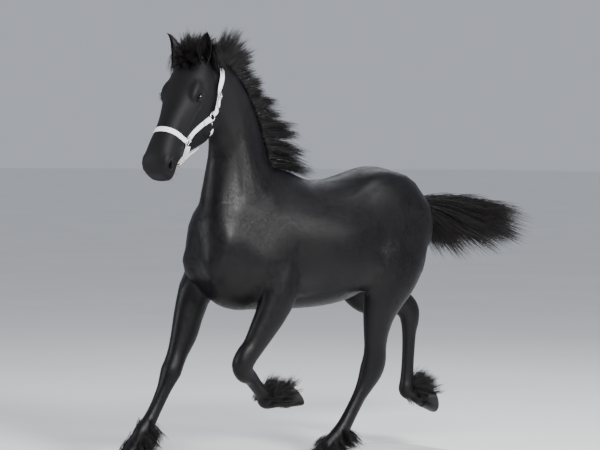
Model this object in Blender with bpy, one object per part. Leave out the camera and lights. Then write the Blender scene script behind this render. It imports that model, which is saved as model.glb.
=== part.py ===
"""A young Friesian horse at a trot: a still, life-size model on a flat base.

The animal is laid out in its own directions: f runs forward, l to its left and
h up from the ground it trots on. The function at() puts such a point in the
world, where the nose looks along -X and the base's underside is at z = 0.
The flesh is modelled whole from tapered lengths and muscles, drawn together
into one skin, and parted into the named sub-parts with thin cuts.
"""
import math

import bmesh
import bpy
import numpy as np
from mathutils import Matrix, Vector
from mathutils.bvhtree import BVHTree

# Driving sizes in metres, for an animal 1.32 m high at the withers
GAP = 0.0003            # clearance between touching sub-parts
ORIGIN_F = 0.20         # distance from the hips' zero to the base's middle
BASE_LENGTH = 1.90
BASE_WIDTH = 0.66
BASE_TOP = 0.022        # thickness of the base, so its top's height
BASE_CORNER = 0.10
BASE_SHIFT = 0.02       # base's middle, behind the origin
VOXEL = 0.0055          # grain at which the flesh is drawn together
FLESH_FACES = 4350      # faces left in the flesh before it is parted

# Trunk: f, top, bottom, half width, how far the top is drawn in
TRUNK = (
    (0.650, 1.050, 0.930, 0.030, 0.0),
    (0.635, 1.100, 0.870, 0.080, 0.0),
    (0.590, 1.160, 0.790, 0.128, 0.0),
    (0.520, 1.200, 0.716, 0.155, 0.1),
    (0.440, 1.240, 0.688, 0.165, 0.3),
    (0.360, 1.280, 0.686, 0.170, 0.5),
    (0.290, 1.308, 0.684, 0.176, 0.62),
    (0.230, 1.312, 0.682, 0.184, 0.62),
    (0.140, 1.286, 0.682, 0.198, 0.50),
    (0.040, 1.252, 0.684, 0.212, 0.34),
    (-0.050, 1.252, 0.690, 0.217, 0.22),
    (-0.140, 1.270, 0.704, 0.210, 0.18),
    (-0.220, 1.293, 0.728, 0.198, 0.18),
    (-0.300, 1.311, 0.765, 0.192, 0.22),
    (-0.380, 1.311, 0.810, 0.190, 0.28),
    (-0.460, 1.290, 0.840, 0.178, 0.30),
    (-0.540, 1.248, 0.880, 0.148, 0.25),
    (-0.605, 1.195, 0.940, 0.106, 0.15),
    (-0.640, 1.135, 1.000, 0.060, 0.05),
    (-0.652, 1.090, 1.040, 0.025, 0.0),
)

# Neck: f, l, h, half depth, half width, how far the crest is drawn in
NECK = (
    (0.360, 0.000, 1.060, 0.235, 0.120, 0.35),
    (0.400, 0.000, 1.160, 0.220, 0.118, 0.40),
    (0.418, 0.002, 1.260, 0.182, 0.104, 0.45),
    (0.432, 0.006, 1.370, 0.150, 0.086, 0.45),
    (0.462, 0.014, 1.480, 0.132, 0.073, 0.40),
    (0.520, 0.027, 1.590, 0.116, 0.068, 0.35),
    (0.605, 0.040, 1.672, 0.100, 0.064, 0.25),
    (0.685, 0.048, 1.712, 0.075, 0.056, 0.15),
)

# Head: the poll's place, the turn to the left, the face's lean from upright
POLL = (0.724, 0.049, 1.763)
HEAD_TURN = math.radians(21.6)
HEAD_LEAN = math.radians(34.5)
HEAD_SCALE = 1.04
# Head: way from the poll to the muzzle, top, bottom, half width, narrowing of the jaw
HEAD = (
    (-0.035, -0.030, -0.100, 0.034, 0.1),
    (0.000, -0.008, -0.140, 0.068, 0.1),
    (0.050, 0.006, -0.190, 0.086, 0.2),
    (0.100, 0.014, -0.244, 0.094, 0.28),
    (0.150, 0.016, -0.284, 0.097, 0.36),
    (0.200, 0.014, -0.292, 0.088, 0.40),
    (0.250, 0.011, -0.268, 0.076, 0.42),
    (0.300, 0.009, -0.228, 0.066, 0.40),
    (0.350, 0.009, -0.186, 0.061, 0.32),
    (0.400, 0.010, -0.154, 0.061, 0.22),
    (0.440, 0.008, -0.138, 0.062, 0.15),
    (0.484, 0.000, -0.132, 0.066, 0.10),
    (0.516, -0.022, -0.122, 0.059, 0.05),
    (0.534, -0.050, -0.104, 0.038, 0.0),
)
EYE_ALONG = 0.166
EYE_DOWN = -0.046
EYE_ASIDE = 0.0785
EYE_RADIUS = 0.0205
SOCKET_RADIUS = 0.0245  # flesh that holds the eyeball
SOCKET_BACK = 0.004     # how far its middle lies behind the eyeball's
LID_STEPS = 16
LID_SIDES = 6
LID_REACH = 1.50        # half length of the lids' opening, in eyeball radii
LID_OPENING = 0.95      # half height of the opening, in eyeball radii
LID_THICK = 0.0036
NOSTRIL_ALONG = 0.492
NOSTRIL_DOWN = -0.046
NOSTRIL_ASIDE = 0.061
NOSTRIL_SIZES = (0.021, 0.016, 0.0100)
MOUTH_OPEN = 0.0022
# Line of the mouth: way down the face, out of it, aside, from the left corner to the front
MOUTH = (
    (0.418, -0.102, 0.051),
    (0.446, -0.105, 0.052),
    (0.476, -0.106, 0.051),
    (0.502, -0.105, 0.044),
    (0.519, -0.103, 0.026),
    (0.524, -0.102, 0.000),
)

# Ears: the root's place on the head and the leaf's shape
EAR_ALONG = 0.010
EAR_OUT = -0.026
EAR_ASIDE = {1: 0.054, -1: 0.078}    # distance of the left ear and the right from the middle
EAR_LENGTH = 0.134
EAR_WIDTH = 0.031
EAR_THICK = 0.0045
EAR_SPLAY = {1: 0.16, -1: 0.17}     # lean to its own side of the left ear and the right
EAR_FORWARD = 0.10
EAR_TWIST = math.radians(48)
EAR_HOOK = 0.014
EAR_STEPS = 9
EAR_ARC = 6
EAR_LEAF = ((-0.12, 0.0, 0.25, 0.5, 0.75, 0.9, 1.0), (0.62, 0.72, 0.95, 1.0, 0.72, 0.38, 0.03))

# Legs: f, l, h, half depth, half width, from inside the body to the coronet
RIGHT_FORE = (
    (0.420, -0.095, 0.980, 0.110, 0.060),
    (0.484, -0.115, 0.870, 0.102, 0.066),
    (0.543, -0.128, 0.775, 0.086, 0.060),
    (0.580, -0.130, 0.675, 0.073, 0.054),
    (0.608, -0.127, 0.585, 0.065, 0.047),
    (0.645, -0.123, 0.505, 0.050, 0.040),
    (0.666, -0.121, 0.460, 0.047, 0.042),
    (0.682, -0.120, 0.428, 0.048, 0.044),
    (0.700, -0.119, 0.393, 0.041, 0.039),
    (0.722, -0.118, 0.350, 0.034, 0.031),
    (0.762, -0.116, 0.280, 0.031, 0.027),
    (0.802, -0.113, 0.220, 0.034, 0.029),
    (0.838, -0.110, 0.178, 0.041, 0.034),
    (0.872, -0.110, 0.135, 0.034, 0.031),
    (0.905, -0.110, 0.092, 0.035, 0.033),
    (0.932, -0.110, 0.057, 0.037, 0.036),
    (0.955, -0.110, 0.027, 0.030, 0.030),
)
LEFT_FORE = (
    (0.350, 0.095, 0.990, 0.110, 0.060),
    (0.300, 0.118, 0.880, 0.108, 0.068),
    (0.296, 0.136, 0.780, 0.094, 0.062),
    (0.336, 0.138, 0.690, 0.078, 0.056),
    (0.385, 0.134, 0.610, 0.064, 0.048),
    (0.432, 0.130, 0.540, 0.052, 0.042),
    (0.466, 0.127, 0.500, 0.052, 0.042),
    (0.483, 0.122, 0.462, 0.050, 0.044),
    (0.464, 0.112, 0.428, 0.045, 0.040),
    (0.420, 0.097, 0.403, 0.035, 0.032),
    (0.370, 0.074, 0.365, 0.032, 0.027),
    (0.322, 0.054, 0.330, 0.034, 0.029),
    (0.288, 0.042, 0.298, 0.044, 0.035),
    (0.250, 0.038, 0.290, 0.037, 0.032),
    (0.212, 0.036, 0.291, 0.036, 0.033),
    (0.182, 0.035, 0.291, 0.037, 0.036),
    (0.152, 0.035, 0.291, 0.030, 0.030),
)
LEFT_HIND = (
    (-0.430, 0.085, 1.080, 0.170, 0.075),
    (-0.410, 0.112, 0.960, 0.175, 0.082),
    (-0.370, 0.128, 0.850, 0.155, 0.078),
    (-0.320, 0.136, 0.755, 0.124, 0.066),
    (-0.284, 0.138, 0.665, 0.092, 0.053),
    (-0.270, 0.134, 0.580, 0.070, 0.044),
    (-0.268, 0.129, 0.505, 0.060, 0.038),
    (-0.266, 0.125, 0.445, 0.064, 0.039),
    (-0.250, 0.121, 0.395, 0.061, 0.040),
    (-0.224, 0.118, 0.345, 0.047, 0.035),
    (-0.192, 0.116, 0.295, 0.036, 0.029),
    (-0.150, 0.114, 0.230, 0.034, 0.027),
    (-0.106, 0.112, 0.165, 0.036, 0.030),
    (-0.070, 0.110, 0.120, 0.041, 0.034),
    (-0.030, 0.110, 0.094, 0.036, 0.031),
    (0.004, 0.110, 0.069, 0.036, 0.034),
    (0.024, 0.110, 0.055, 0.037, 0.036),
    (0.046, 0.110, 0.034, 0.030, 0.030),
)
RIGHT_HIND = (
    (-0.440, -0.085, 1.080, 0.170, 0.075),
    (-0.440, -0.112, 0.960, 0.170, 0.082),
    (-0.412, -0.130, 0.860, 0.150, 0.078),
    (-0.408, -0.140, 0.782, 0.124, 0.068),
    (-0.456, -0.139, 0.722, 0.098, 0.058),
    (-0.530, -0.135, 0.690, 0.076, 0.048),
    (-0.602, -0.129, 0.680, 0.060, 0.041),
    (-0.662, -0.125, 0.670, 0.061, 0.039),
    (-0.698, -0.122, 0.636, 0.060, 0.040),
    (-0.706, -0.120, 0.588, 0.050, 0.037),
    (-0.701, -0.118, 0.530, 0.038, 0.030),
    (-0.696, -0.116, 0.450, 0.034, 0.027),
    (-0.690, -0.114, 0.370, 0.034, 0.027),
    (-0.685, -0.112, 0.310, 0.037, 0.030),
    (-0.682, -0.110, 0.268, 0.041, 0.034),
    (-0.718, -0.110, 0.246, 0.036, 0.031),
    (-0.752, -0.110, 0.233, 0.036, 0.034),
    (-0.780, -0.110, 0.222, 0.037, 0.036),
    (-0.806, -0.110, 0.212, 0.030, 0.030),
)
LEGS = {
    "right_fore": RIGHT_FORE,
    "left_fore": LEFT_FORE,
    "left_hind": LEFT_HIND,
    "right_hind": RIGHT_HIND,
}

# Forms of the head: way down the face, out of it, aside, half sizes in the same order
HEAD_FORMS = (
    (0.148, -0.024, 0.067, (0.056, 0.028, 0.024)),      # brow over the eye
    (0.168, -0.150, 0.046, (0.100, 0.112, 0.050)),      # cheek
    (0.240, -0.066, 0.050, (0.080, 0.012, 0.020)),      # crest under the eye
    (0.476, -0.036, 0.043, (0.038, 0.030, 0.024)),      # nostril's wing
    (0.500, -0.080, 0.022, (0.031, 0.030, 0.033)),      # upper lip
    (0.490, -0.116, 0.015, (0.035, 0.019, 0.028)),      # lower lip
    (0.462, -0.132, 0.000, (0.029, 0.021, 0.026)),      # chin
)

# Hooves: the coronet's middle and the toe's pitch in the plane of f and h
HOOVES = {
    "right_fore": {"coronet": (0.932, -0.110, 0.055), "pitch": 0},
    "left_fore": {"coronet": (0.182, 0.035, 0.291), "pitch": -128},
    "left_hind": {"coronet": (0.024, 0.110, 0.055), "pitch": 0},
    "right_hind": {"coronet": (-0.780, -0.110, 0.222), "pitch": -103},
}
HOOF_RISE = 0.016       # how far the coronet rises from its middle to the front
HOOF_LENGTH = 0.0375    # half length of the coronet
HOOF_SIDES = 16
# Rings of a hoof: share of the way down, half length, half width, shift ahead, drop
HOOF_RINGS = (
    (0.00, 0.0375, 0.0365, 0.000, 0.0002),
    (0.12, 0.0410, 0.0400, 0.002, 0.0070),
    (0.94, 0.0595, 0.0525, 0.024, 0.0510),
    (1.00, 0.0570, 0.0500, 0.023, 0.0547),
)

# Where the flesh is parted: place, direction square to the cut, radius
CUTS = (
    ((0.460, 0.000, 1.200), (0.613, 0.000, 0.790), 0.330),
    ((0.642, 0.040, 1.600), (0.925, 0.375, 0.060), 0.235),
    ((0.586, -0.130, 0.660), (0.380, 0.000, -0.920), 0.095),
    ((0.702, -0.119, 0.388), (0.480, 0.020, -0.880), 0.062),
    ((0.812, -0.112, 0.208), (0.640, 0.030, -0.770), 0.056),
    ((0.358, 0.136, 0.655), (0.520, -0.020, -0.850), 0.088),
    ((0.444, 0.106, 0.419), (-0.800, -0.330, -0.500), 0.056),
    ((0.312, 0.050, 0.321), (-0.770, -0.300, -0.560), 0.050),
    ((-0.296, 0.137, 0.695), (0.220, 0.000, -0.975), 0.130),
    ((-0.221, 0.118, 0.340), (0.550, -0.040, -0.830), 0.066),
    ((-0.096, 0.111, 0.152), (0.640, -0.020, -0.770), 0.056),
    ((-0.560, -0.132, 0.681), (-0.930, 0.050, -0.360), 0.088),
    ((-0.690, -0.119, 0.552), (0.060, 0.020, -1.000), 0.066),
    ((-0.678, -0.112, 0.305), (0.020, 0.030, -1.000), 0.056),
)
# The middle of each part of the flesh
NODES = {
    "head": (0.830, 0.090, 1.550),
    "neck": (0.500, 0.020, 1.450),
    "torso": (0.050, 0.000, 1.000),
    "right_fore_forearm": (0.635, -0.127, 0.540),
    "right_fore_cannon": (0.757, -0.116, 0.290),
    "right_fore_pastern": (0.870, -0.110, 0.135),
    "left_fore_forearm": (0.435, 0.130, 0.530),
    "left_fore_cannon": (0.375, 0.075, 0.370),
    "left_fore_pastern": (0.240, 0.040, 0.292),
    "left_hind_gaskin": (-0.270, 0.133, 0.520),
    "left_hind_cannon": (-0.158, 0.115, 0.245),
    "left_hind_pastern": (-0.030, 0.110, 0.095),
    "right_hind_gaskin": (-0.650, -0.127, 0.640),
    "right_hind_cannon": (-0.684, -0.116, 0.430),
    "right_hind_pastern": (-0.720, -0.110, 0.250),
}

# Faces and grain
RING_CLEAR = 0.0006
STRAP_EASE = 2
BASE_CHAMFER = 0.004
SMOOTHING = 10          # rounds of smoothing all over
SOFTENING = 70          # more rounds on the trunk, the neck and the upper legs
SOFT_ABOVE = 0.72       # heights between which the softening grows to full
SOFT_FULL = 0.92
SOFT_LEVELS = 10
HEAD_BEGINS = 0.10      # way ahead of the neck's end over which it fades out
MERGE = 0.000001
HEAD_WEIGHT = 0.30
HEAD_CARE = 0.00006
FUSE_SOLVER = "MANIFOLD"

# Long hair
SEED = 7
LOCK_SWAY = 0.05
LOCK_THICK = 0.20       # half thickness of a lock in widths
CREST_LOW = 1.300
CREST_HIGH = 1.770
MANE_LOCKS = 24
MANE_CORE = 0.034
MANE_CORE_HALF = 0.016
MANE_SUNK = 0.020
MANE_SPREAD = 0.030
MANE_WIDTH = 0.076
MANE_LENGTHS = ((0.0, 0.12, 0.24, 0.36, 0.5, 0.8, 1.0), (0.150, 0.125, 0.088, 0.085, 0.122, 0.205, 0.245))
FORELOCK_LOCKS = 7
FORELOCK_LENGTH = 0.095
FORELOCK_CORE = (0.036, 0.020, 0.020)
TAIL_ROOT = (-0.612, 1.148)
DOCK_LENGTH = 0.30
DOCK_DROP = 0.038
TAIL_LOCKS = 24
TAIL_TURN = 2.4
TAIL_WIDTH = 0.086
TAIL_SINK = 0.05        # how far the locks bend down on their way
TAIL_EVEN = 0.75        # evenness of the tips' spread along the tail, below 1 for more at the end
# Outline of the hair's tips: way behind the root, top, bottom, half width
TAIL_OUTLINE = (
    (0.10, 1.175, 0.915, 0.050),
    (0.25, 1.172, 0.872, 0.085),
    (0.38, 1.160, 0.868, 0.110),
    (0.52, 1.140, 0.898, 0.115),
    (0.64, 1.120, 0.932, 0.100),
    (0.74, 1.095, 0.955, 0.080),
)
TAIL_REACH = (0.20, 0.46)   # distance from tip back to root of the first locks and the last

FEATHER_LOCKS = 8
FEATHER_FAN = 0.72
FEATHER_ASIDE = 0.75
FEATHER_LENGTH = 0.096
FEATHER_WIDTH = 0.046
# Long hair behind each fetlock: the line its roots follow, the way back and the way it hangs
FEATHERS = {
    "right_fore": {"line": ((0.815, -0.11, 0.185), (0.900, -0.11, 0.066)),
                   "back": (-0.72, 0, -0.45), "hang": (0.10, 0, -0.75)},
    "left_fore": {"line": ((0.292, 0.044, 0.322), (0.190, 0.036, 0.318)),
                  "back": (-0.45, 0, 0.80), "hang": (-0.90, 0, 0.10)},
    "left_hind": {"line": ((-0.095, 0.11, 0.125), (-0.002, 0.11, 0.058)),
                  "back": (-0.80, 0, -0.25), "hang": (0.10, 0, -0.60)},
    "right_hind": {"line": ((-0.712, -0.11, 0.290), (-0.785, -0.11, 0.250)),
                   "back": (-0.50, 0, 0.75), "hang": (-0.75, 0, -0.20)},
}

# Halter: straps follow the head at these places: way down the face, out of it, aside
STRAP_WIDTH = 0.024
STRAP_OUT = 0.0040
STRAP_IN = 0.0040
HEART_SPAN = (0.02, 0.50)   # middle line of the head: where it starts and ends down the face
HEART_DEPTH = -0.115        # how deep it lies at the poll
HEART_FADE = 1.30           # way down the face over which it would come up to the surface
RAY_START = 0.080           # how far outside a place its way in to the flesh starts
RING_SIZE = 0.0165
RING_WIRE = 0.0030
RING_STEPS = 10
RING_SIDES = 4
SIDE_RING = (0.345, -0.103, 0.060)
UPPER_RING = (0.188, -0.150, 0.090)
CHIN_RING = (0.385, -0.196, 0.000)
NOSEBAND = ((0.348, -0.084, 0.075), (0.354, -0.040, 0.072), (0.358, -0.004, 0.048),
            (0.359, 0.022, 0.018), (0.359, 0.022, -0.018))
CHIN = ((0.356, -0.124, 0.062), (0.366, -0.152, 0.050), (0.376, -0.178, 0.030))
CHEEK = ((0.327, -0.110, 0.075), (0.270, -0.130, 0.085), (0.207, -0.146, 0.095))
CROWN = ((0.170, -0.160, 0.110), (0.110, -0.150, 0.115), (0.040, -0.135, 0.112),
         (-0.020, -0.100, 0.100), (-0.052, -0.055, 0.060), (-0.064, -0.034, 0.020),
         (-0.064, -0.034, 0.004))
THROAT = ((0.203, -0.170, 0.095), (0.212, -0.205, 0.088), (0.216, -0.238, 0.060))
THROAT_WIDTH = 0.019
CROWN_LIFT = 0.014      # how far the taut crown strap stays above the flesh
CROWN_EASE = 4
NOSE_LIFT = 0.0015
# Straps of each side: route, width, lift above the flesh, rounds of easing
SIDE_STRAPS = {
    "cheek": (CHEEK, STRAP_WIDTH, 0.0, STRAP_EASE),
    "throat": (THROAT, THROAT_WIDTH, 0.0, STRAP_EASE),
    "chin": (CHIN, STRAP_WIDTH, 0.0, STRAP_EASE),
    "crown": (CROWN, STRAP_WIDTH, CROWN_LIFT, CROWN_EASE),
}
CHIN_RING_LIFT = 0.018

# Muscles and bony points: centre, half sizes along f, l and h, lean in the f-h plane
MUSCLES = (
    ((0.345, 0.104, 1.010), (0.120, 0.060, 0.190), 22),     # shoulder blade
    ((0.540, 0.092, 0.975), (0.080, 0.064, 0.120), 10),     # point of the shoulder
    ((0.365, 0.120, 0.900), (0.125, 0.062, 0.115), -20),    # triceps
    ((0.590, 0.065, 0.905), (0.065, 0.060, 0.100), 0),      # breast muscle
    ((0.230, 0.024, 1.205), (0.180, 0.050, 0.085), 0),      # withers' sides
    ((-0.360, 0.085, 1.170), (0.210, 0.092, 0.125), 4),     # croup
    ((-0.505, 0.092, 1.060), (0.125, 0.080, 0.165), -14),   # haunch
    ((-0.520, 0.085, 0.950), (0.085, 0.060, 0.120), 10),    # hamstring
    ((-0.330, 0.130, 1.000), (0.130, 0.064, 0.170), 12),    # thigh
    ((-0.110, 0.118, 0.900), (0.250, 0.096, 0.155), 0),     # barrel
)


def at(point):
    """A point given forward, left and up from the animal's ground, in the world."""
    f, l, h = np.moveaxis(np.asarray(point, float), -1, 0)
    return np.stack((ORIGIN_F - f, -l, BASE_TOP + h), -1)


def along(direction):
    """A direction given forward, left and up, in the world."""
    f, l, h = np.moveaxis(np.asarray(direction, float), -1, 0)
    return np.stack((-f, -l, h), -1)


def unit(vectors):
    """The same directions with length one."""
    vectors = np.asarray(vectors, float)
    return vectors / np.maximum(np.linalg.norm(vectors, axis=-1, keepdims=True), 1e-12)


def spline(rows, steps):
    """Rows read from a smooth curve through the given rows, steps to each span."""
    rows = np.asarray(rows, float)
    before = np.vstack((2 * rows[0] - rows[1], rows[:-2]))
    after = np.vstack((rows[2:], 2 * rows[-1] - rows[-2]))
    t = np.linspace(0, 1, steps, endpoint=False)[None, :, None]
    p0, p1, p2, p3 = (block[:, None, :] for block in (before, rows[:-1], rows[1:], after))
    curve = 0.5 * (
        2 * p1 + (p2 - p0) * t + (2 * p0 - 5 * p1 + 4 * p2 - p3) * t**2
        + (3 * p1 - p0 - 3 * p2 + p3) * t**3
    )
    return np.vstack((curve.reshape(-1, rows.shape[1]), rows[-1:]))


def new_object(name, points, faces):
    """An object at the world's origin from points in the world and their faces."""
    mesh = bpy.data.meshes.new(name)
    mesh.from_pydata(np.asarray(points).tolist(), [], faces)
    mesh.validate()
    item = bpy.data.objects.new(name, mesh)
    bpy.context.scene.collection.objects.link(item)
    turn_outwards(item)
    return item


def turn_outwards(item):
    """Point every face of a closed mesh away from its inside."""
    work = bmesh.new()
    work.from_mesh(item.data)
    bmesh.ops.recalc_face_normals(work, faces=work.faces)
    if work.calc_volume(signed=True) < 0:
        bmesh.ops.reverse_faces(work, faces=work.faces)
    work.to_mesh(item.data)
    work.free()


def ring_faces(rings, sides):
    """Faces of a tube of rings with flat ends."""
    faces = []
    for row in range(rings - 1):
        for side in range(sides):
            a = row * sides + side
            b = row * sides + (side + 1) % sides
            faces.append((a, b, b + sides, a + sides))
    faces.append(tuple(range(sides)))
    faces.append(tuple(range((rings - 1) * sides, rings * sides)))
    return faces


def loft(name, rings):
    """A closed body through rings of points, given forward, left and up."""
    rings = np.asarray(rings)
    return new_object(name, at(rings.reshape(-1, 3)), ring_faces(rings.shape[0], rings.shape[1]))


def turns(sides):
    """Cosines and sines of equal steps round a ring."""
    angle = np.linspace(0, 2 * math.pi, sides, endpoint=False)
    return np.cos(angle), np.sin(angle)


def trunk_rings(sides=40):
    """Upright sections along the trunk, drawn in towards the back line."""
    rows = spline(TRUNK, 4)
    cos, sin = turns(sides)
    f, top, bottom, half, pinch = (rows[:, k, None] for k in range(5))
    middle = (top + bottom) / 2
    depth = (top - bottom) / 2
    draw = 1 - pinch * np.clip(sin, 0, 1) ** 2.2
    l = half * np.sign(cos) * np.abs(cos) ** 0.92 * draw
    h = middle + depth * np.sign(sin) * np.abs(sin) ** 0.96
    return np.stack(np.broadcast_arrays(f, l, h), -1)


def path_rings(rows, sides, draw_in=None, across=(0, 1, 0)):
    """Sections square to a path; rows hold place, half depth and half width."""
    place = rows[:, :3]
    tangent = unit(np.gradient(place, axis=0))
    side = np.asarray(across, float) - (tangent @ np.asarray(across, float))[:, None] * tangent
    side = unit(side)
    deep = np.cross(tangent, side)
    cos, sin = turns(sides)
    depth = rows[:, 3, None] * sin
    width = rows[:, 4, None] * cos
    if draw_in is not None:
        width = width * (1 - draw_in[:, None] * np.clip(sin, 0, 1) ** 2)
    return (place[:, None] + depth[..., None] * deep[:, None] + width[..., None] * side[:, None])


def neck_rings(sides=36):
    """Sections square to the neck, drawn in towards the crest."""
    rows = spline(NECK, 4)
    return path_rings(rows[:, :5], sides, rows[:, 5])


def head_axes():
    """Directions down the face, out of the forehead and to the head's left."""
    heading = np.array((math.cos(HEAD_TURN), math.sin(HEAD_TURN), 0.0))
    up = np.array((0.0, 0.0, 1.0))
    down_face = heading * math.sin(HEAD_LEAN) - up * math.cos(HEAD_LEAN)
    out = heading * math.cos(HEAD_LEAN) + up * math.sin(HEAD_LEAN)
    left = np.cross(up, heading)
    return down_face, out, left


def on_head(way, out, aside):
    """A point given along the face from the poll, out of it and to its left."""
    down_face, forehead, left = head_axes()
    way, out, aside = (HEAD_SCALE * np.asarray(value, float)[..., None] for value in (way, out, aside))
    return np.asarray(POLL) + way * down_face + out * forehead + aside * left


def head_rings(sides=36):
    """Sections square to the face, narrower towards the jaw's lower edge."""
    rows = spline(HEAD, 4)
    cos, sin = turns(sides)
    way, top, bottom, half, jaw = (rows[:, k, None] for k in range(5))
    middle = top * 0.6 + bottom * 0.4
    out = middle + np.where(sin > 0, (top - middle) * np.abs(sin) ** 0.8,
                            (bottom - middle) * np.abs(sin) ** 0.9)
    aside = half * np.sign(cos) * np.abs(cos) ** 0.85 * (1 - jaw * np.clip(-sin, 0, 1) ** 1.5)
    way, out, aside = np.broadcast_arrays(way, out, aside)
    return on_head(way, out, aside)


def ellipsoid(name, centre, axes, sizes, rings=10, sides=16):
    """A closed egg shape; axes are three directions forward, left and up."""
    polar = np.linspace(0, math.pi, rings + 2)[1:-1]
    cos, sin = turns(sides)
    ball = np.stack(np.broadcast_arrays(
        np.cos(polar)[:, None], np.sin(polar)[:, None] * cos, np.sin(polar)[:, None] * sin), -1)
    scaled = ball * np.asarray(sizes, float)
    return loft(name, np.asarray(centre, float) + scaled @ np.asarray(axes, float))


def leaning_axes(degrees):
    """Forward, left and up directions, leaned in the plane of forward and up."""
    lean = math.radians(degrees)
    return ((math.cos(lean), 0, math.sin(lean)), (0, 1, 0), (-math.sin(lean), 0, math.cos(lean)))


def flesh_pieces():
    """Every tapered length and muscle that the flesh is drawn together from."""
    pieces = [loft("trunk", trunk_rings()), loft("neck", neck_rings()), loft("skull", head_rings())]
    for name, rows in LEGS.items():
        pieces.append(loft(name, path_rings(spline(rows, 3), 24)))
    for centre, sizes, lean in MUSCLES:
        for side in (1, -1):
            place = (centre[0], centre[1] * side, centre[2])
            pieces.append(ellipsoid("muscle", place, leaning_axes(lean), sizes))
    axes = head_axes()
    for way, out, aside, sizes in HEAD_FORMS:
        for side in (1, -1):
            place = on_head(way, out, aside * side)
            pieces.append(ellipsoid("head_form", place, axes, sizes))
    for side in (1, -1):
        place = eye_place(side) - look_direction(side) * SOCKET_BACK
        pieces.append(ellipsoid("socket_flesh", place, np.eye(3), (SOCKET_RADIUS,) * 3))
    return pieces


def evaluated_copy(item):
    """Take the modifiers' result as the object's own mesh."""
    graph = bpy.context.evaluated_depsgraph_get()
    mesh = bpy.data.meshes.new_from_object(item.evaluated_get(graph))
    old = item.data
    item.modifiers.clear()
    item.data = mesh
    if old.users == 0:
        bpy.data.meshes.remove(old)


def joined(name, pieces):
    """One object that holds the meshes of all the pieces, which are removed."""
    work = bmesh.new()
    for piece in pieces:
        work.from_mesh(piece.data)
    mesh = bpy.data.meshes.new(name)
    work.to_mesh(mesh)
    work.free()
    for piece in pieces:
        bpy.data.objects.remove(piece, do_unlink=True)
    item = bpy.data.objects.new(name, mesh)
    bpy.context.scene.collection.objects.link(item)
    return item


def make_flesh():
    """The whole animal's flesh as one smooth closed surface of few faces."""
    flesh = joined("flesh", flesh_pieces())
    draw = flesh.modifiers.new("draw together", "REMESH")
    draw.mode = "VOXEL"
    draw.voxel_size = VOXEL
    smooth = flesh.modifiers.new("smooth", "SMOOTH")
    smooth.factor = 0.5
    smooth.iterations = SMOOTHING
    evaluated_copy(flesh)
    mark_regions(flesh)
    soften = flesh.modifiers.new("soften", "SMOOTH")
    soften.factor = 0.5
    soften.iterations = SOFTENING
    soften.vertex_group = "soft"
    evaluated_copy(flesh)
    thin = flesh.modifiers.new("fewer faces", "DECIMATE")
    thin.ratio = FLESH_FACES / sum(len(face.vertices) - 2 for face in flesh.data.polygons)
    thin.vertex_group = "coarse"
    thin.vertex_group_factor = HEAD_CARE
    evaluated_copy(flesh)
    return flesh


def mark_regions(flesh):
    """Vertex groups: coarse lets the body lose faces first, soft rounds the trunk's muscles."""
    points = np.empty(len(flesh.data.vertices) * 3, np.float32)
    flesh.data.vertices.foreach_get("co", points)
    points = points.reshape(-1, 3)
    down_face, forehead = (along(axis) for axis in head_axes()[:2])
    way = (points - at(POLL)) @ down_face / HEAD_SCALE
    ahead = (points - at(POLL)) @ forehead
    on_the_head = (way > -0.02) & (ahead > -0.29) & (points[:, 2] > BASE_TOP + 1.15)
    group = flesh.vertex_groups.new(name="coarse")
    group.add(np.flatnonzero(on_the_head).tolist(), HEAD_WEIGHT, "REPLACE")
    group.add(np.flatnonzero(~on_the_head).tolist(), 1.0, "REPLACE")
    high = np.clip((points[:, 2] - BASE_TOP - SOFT_ABOVE) / (SOFT_FULL - SOFT_ABOVE), 0, 1)
    far = np.linalg.norm(points - at(on_head(0.10, -0.08, 0.0)), axis=1)
    soft = high * np.clip((far - 0.24) / HEAD_BEGINS, 0, 1) * ~on_the_head
    levels = np.round(soft * SOFT_LEVELS).astype(int)
    group = flesh.vertex_groups.new(name="soft")
    for level in range(1, SOFT_LEVELS + 1):
        group.add(np.flatnonzero(levels == level).tolist(), level / SOFT_LEVELS, "REPLACE")


def disc(point, normal, radius, depth=GAP):
    """A round cutter with its near face half a gap before the point."""
    work = bmesh.new()
    normal = unit(normal)
    turn = Vector(along(normal)).to_track_quat("Z", "Y").to_matrix().to_4x4()
    middle = np.asarray(point) + normal * (depth - GAP) / 2
    place = Matrix.Translation(at(middle)) @ turn
    bmesh.ops.create_cone(work, cap_ends=True, segments=24, radius1=radius, radius2=radius,
                          depth=depth, matrix=place)
    return cutter_object(work, "cut")


def coronet_cut(name):
    """A cutter that takes off the tip of a leg where its hoof begins."""
    toe, up = hoof_axes(name)[::2]
    lean = math.asin(HOOF_RISE / HOOF_LENGTH)
    down = toe * math.sin(lean) - up * math.cos(lean)
    return disc(HOOVES[name]["coronet"], down, 0.060, 0.070)


def cutter_object(work, name):
    """A guide object that the model leaves out, from the bmesh's faces."""
    mesh = bpy.data.meshes.new(name)
    work.to_mesh(mesh)
    work.free()
    item = bpy.data.objects.new(name, mesh)
    bpy.context.scene.collection.objects.link(item)
    item.hide_render = True
    item.display_type = "WIRE"
    return item


def combine(item, other, operation, solver="MANIFOLD", keep=False):
    """Apply a Boolean of one other object to an object; the other one goes unless kept."""
    step = item.modifiers.new("shape", "BOOLEAN")
    step.operation = operation
    step.solver = solver
    step.object = other
    evaluated_copy(item)
    if not keep:
        bpy.data.objects.remove(other, do_unlink=True)


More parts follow.
